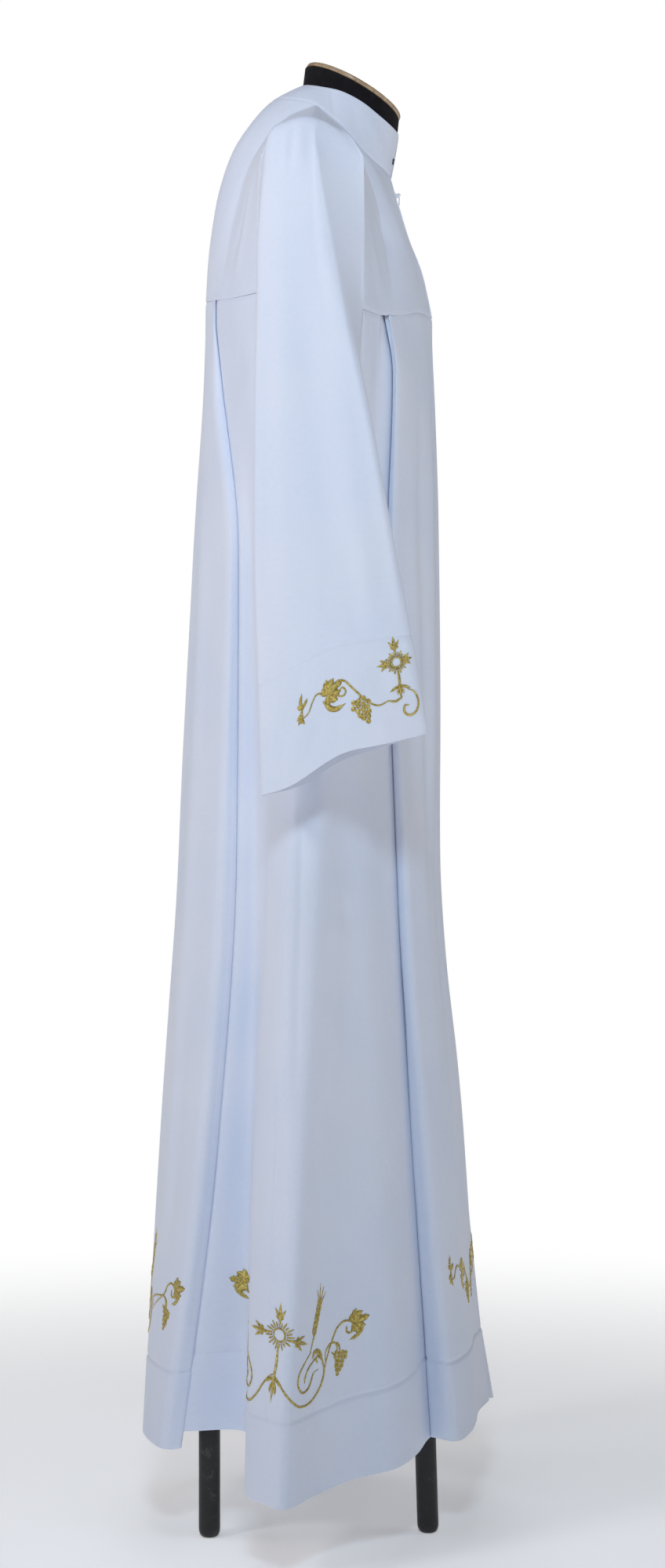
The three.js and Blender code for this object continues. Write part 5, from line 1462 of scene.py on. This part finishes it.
    def vine(self):
        """Half of the hem's ornament: a vine with a wheat ear, curls, grapes and a leaf."""
        self.stroke([(-7, -38), (-1, -42), (6, -50), (17, -62), (31, -70), (47, -69), (59, -60), (65, -46),
                     (62, -33), (54, -27)], 1.9, 0.5, 0.9)
        self.stroke([(47, -29), (52, -23), (58, -25), (63, -34)], 4.2, 0.2, 0.15)
        self.stroke([(49, -31), (53, -30), (56, -35)], 2.4, 0.3, 0.2)
        self.stroke([(45, -22), (36, -29), (27, -38), (25, -48), (32, -57), (41, -56), (46, -50), (50, -43),
                     (57, -41)], 1.8, 0.6, 0.4)
        self.stroke([(54, -29), (42, -36), (36, -44), (36, -49)], 1.5, 0.6, 0.5)
        self.stroke([(44, -22), (50, -6), (54, 9), (59, 27)], 1.5, 0.7, 0.4)
        for k in range(6):
            x, y = 49.5 + 1.5 * k, -8 + 5.2 * k
            self.stroke([(x, y), (x + 2.6, y + 4), (x + 3, y + 9)], 1.7, 0.4, 0.15)
            self.stroke([(x, y), (x - 1.8, y + 5), (x - 1.2, y + 10)], 1.7, 0.4, 0.15)
        for x, y in [(54, 36), (59, 41), (64, 37), (67, 31)]:
            self.stroke([(57, 20), (x, y)], 0.8, 0.8, 0.5)
        self.stroke([(66, -42), (70, -31), (77, -18), (84, -9), (93, -5), (102, -7), (106, -13), (102, -18),
                     (97, -16), (97, -11)], 1.8, 0.6, 0.8)
        self.stroke([(67, -37), (67, -27), (74, -21), (82, -23), (84, -29), (80, -33), (76, -30)],
                    1.6, 0.6, 0.8)
        self.stroke([(80, -22), (86, -25), (88, -32)], 1.6, 0.6, 0.8)
        self.leaf(107, -9, 17, 12)
        self.stroke([(116, -10), (114, -18), (108, -23), (100, -25)], 3.8, 0.3, 0.1)
        self.grapes(89, -34, -104, [4, 4, 3, 3, 2, 1])

    def spray(self):
        """The cuff's ornament, without the cross beside it: a bud, a vine, a leaf and grapes."""
        for line in [[(146, 65), (148, 73), (146, 81)], [(146, 64), (147, 57), (142, 49)],
                     [(146, 66), (152, 71)], [(146, 62), (152, 57)], [(145, 66), (139, 72)],
                     [(145, 60), (150, 52)]]:
            self.stroke(line, 3.6, 0.5, 0.12)
        self.stroke([(145, 52), (147, 59), (146, 66), (147, 75)], 2.4, 0.3, 0.2)
        self.stroke([(144, 56), (138, 57), (133, 64), (127, 68), (119, 64)], 1.5, 0.8, 0.8)
        self.leaf(114, 61, 18, 156)
        self.stroke([(120, 57), (113, 47), (106, 43), (97, 45)], 4.6, 0.3, 0.1)
        self.stroke([(112, 54), (109, 62), (103, 67), (96, 66), (88, 56), (77, 43), (67, 37), (57, 39)],
                    1.5, 0.7, 0.8)
        self.stroke([(108, 61), (103, 54), (98, 53), (96, 57), (99, 61), (102, 59)], 1.4, 0.7, 0.8)
        self.stroke([(87, 55), (83, 50), (84, 45)], 1.3, 0.8, 0.8)
        self.grapes(84.5, 44.5, -108, [3, 4, 3, 3, 2, 1], 2.5)


def embroidered(name, works):
    """All the strokes of one piece of embroidery as one mesh."""
    points, faces, runs, start = [], [], [], 0
    for work in works:
        for part_points, part_faces, run in work.parts:
            points.append(part_points)
            faces += [tuple(start + k for k in face) for face in part_faces]
            runs.append(run)
            start += len(part_points)
    made = outwards(piece(name, np.concatenate(points), faces, gold_thread, 'gold_thread'))
    made.data.attributes.new('run', 'FLOAT', 'POINT').data.foreach_set('value', np.concatenate(runs))
    return made


# Each motif's place along and above the hem, its direction, and how far its two vines stretch.
hem_works = []
for a, h, way, near, far in [(450, 161.6, -1, 0, 44), (955, 172, -1, 33, 18), (1488, 160, 1, 3, 38)]:
    cross = Embroidery(hem_ground, (a, h), way)
    cross.rayed_cross([(1, 31), (-43, 2), (40, -13)], (-8, -66), 6.3, 1.2)
    right_half = Embroidery(hem_ground, (a, h), way, near)
    right_half.vine()
    left_half = Embroidery(hem_ground, (a - 14 * way, h), -way, far)
    left_half.vine()
    hem_works += [cross, right_half, left_half]
for way, start in [(1, 0), (-1, hem_ground.run[-1])]:
    front = Embroidery(hem_ground, (start - way * 59, 106), way)
    front.spray()
    hem_works.append(front)
embroidered('embroidery_hem', hem_works)

for label in ('right', 'left'):
    ground = Ground(*cuff_grids[label], 112, 50)
    spray = Embroidery(ground, (0, 0), 1)
    spray.spray()
    for line in [[(57, 39), (50, 37), (43, 40)], [(37, 46), (31, 42), (28, 33), (31, 24), (38, 21), (43, 25),
                                                  (42, 31), (38, 31)]]:
        spray.stroke(line, 1.9, 0.5, 0.6)
    cross = Embroidery(ground, (44, 73), -1)
    cross.rayed_cross([(0, 26), (-20, 0), (17, 1)], (0, -36), 4.9)
    embroidered('embroidery_cuff_' + label, [spray, cross])
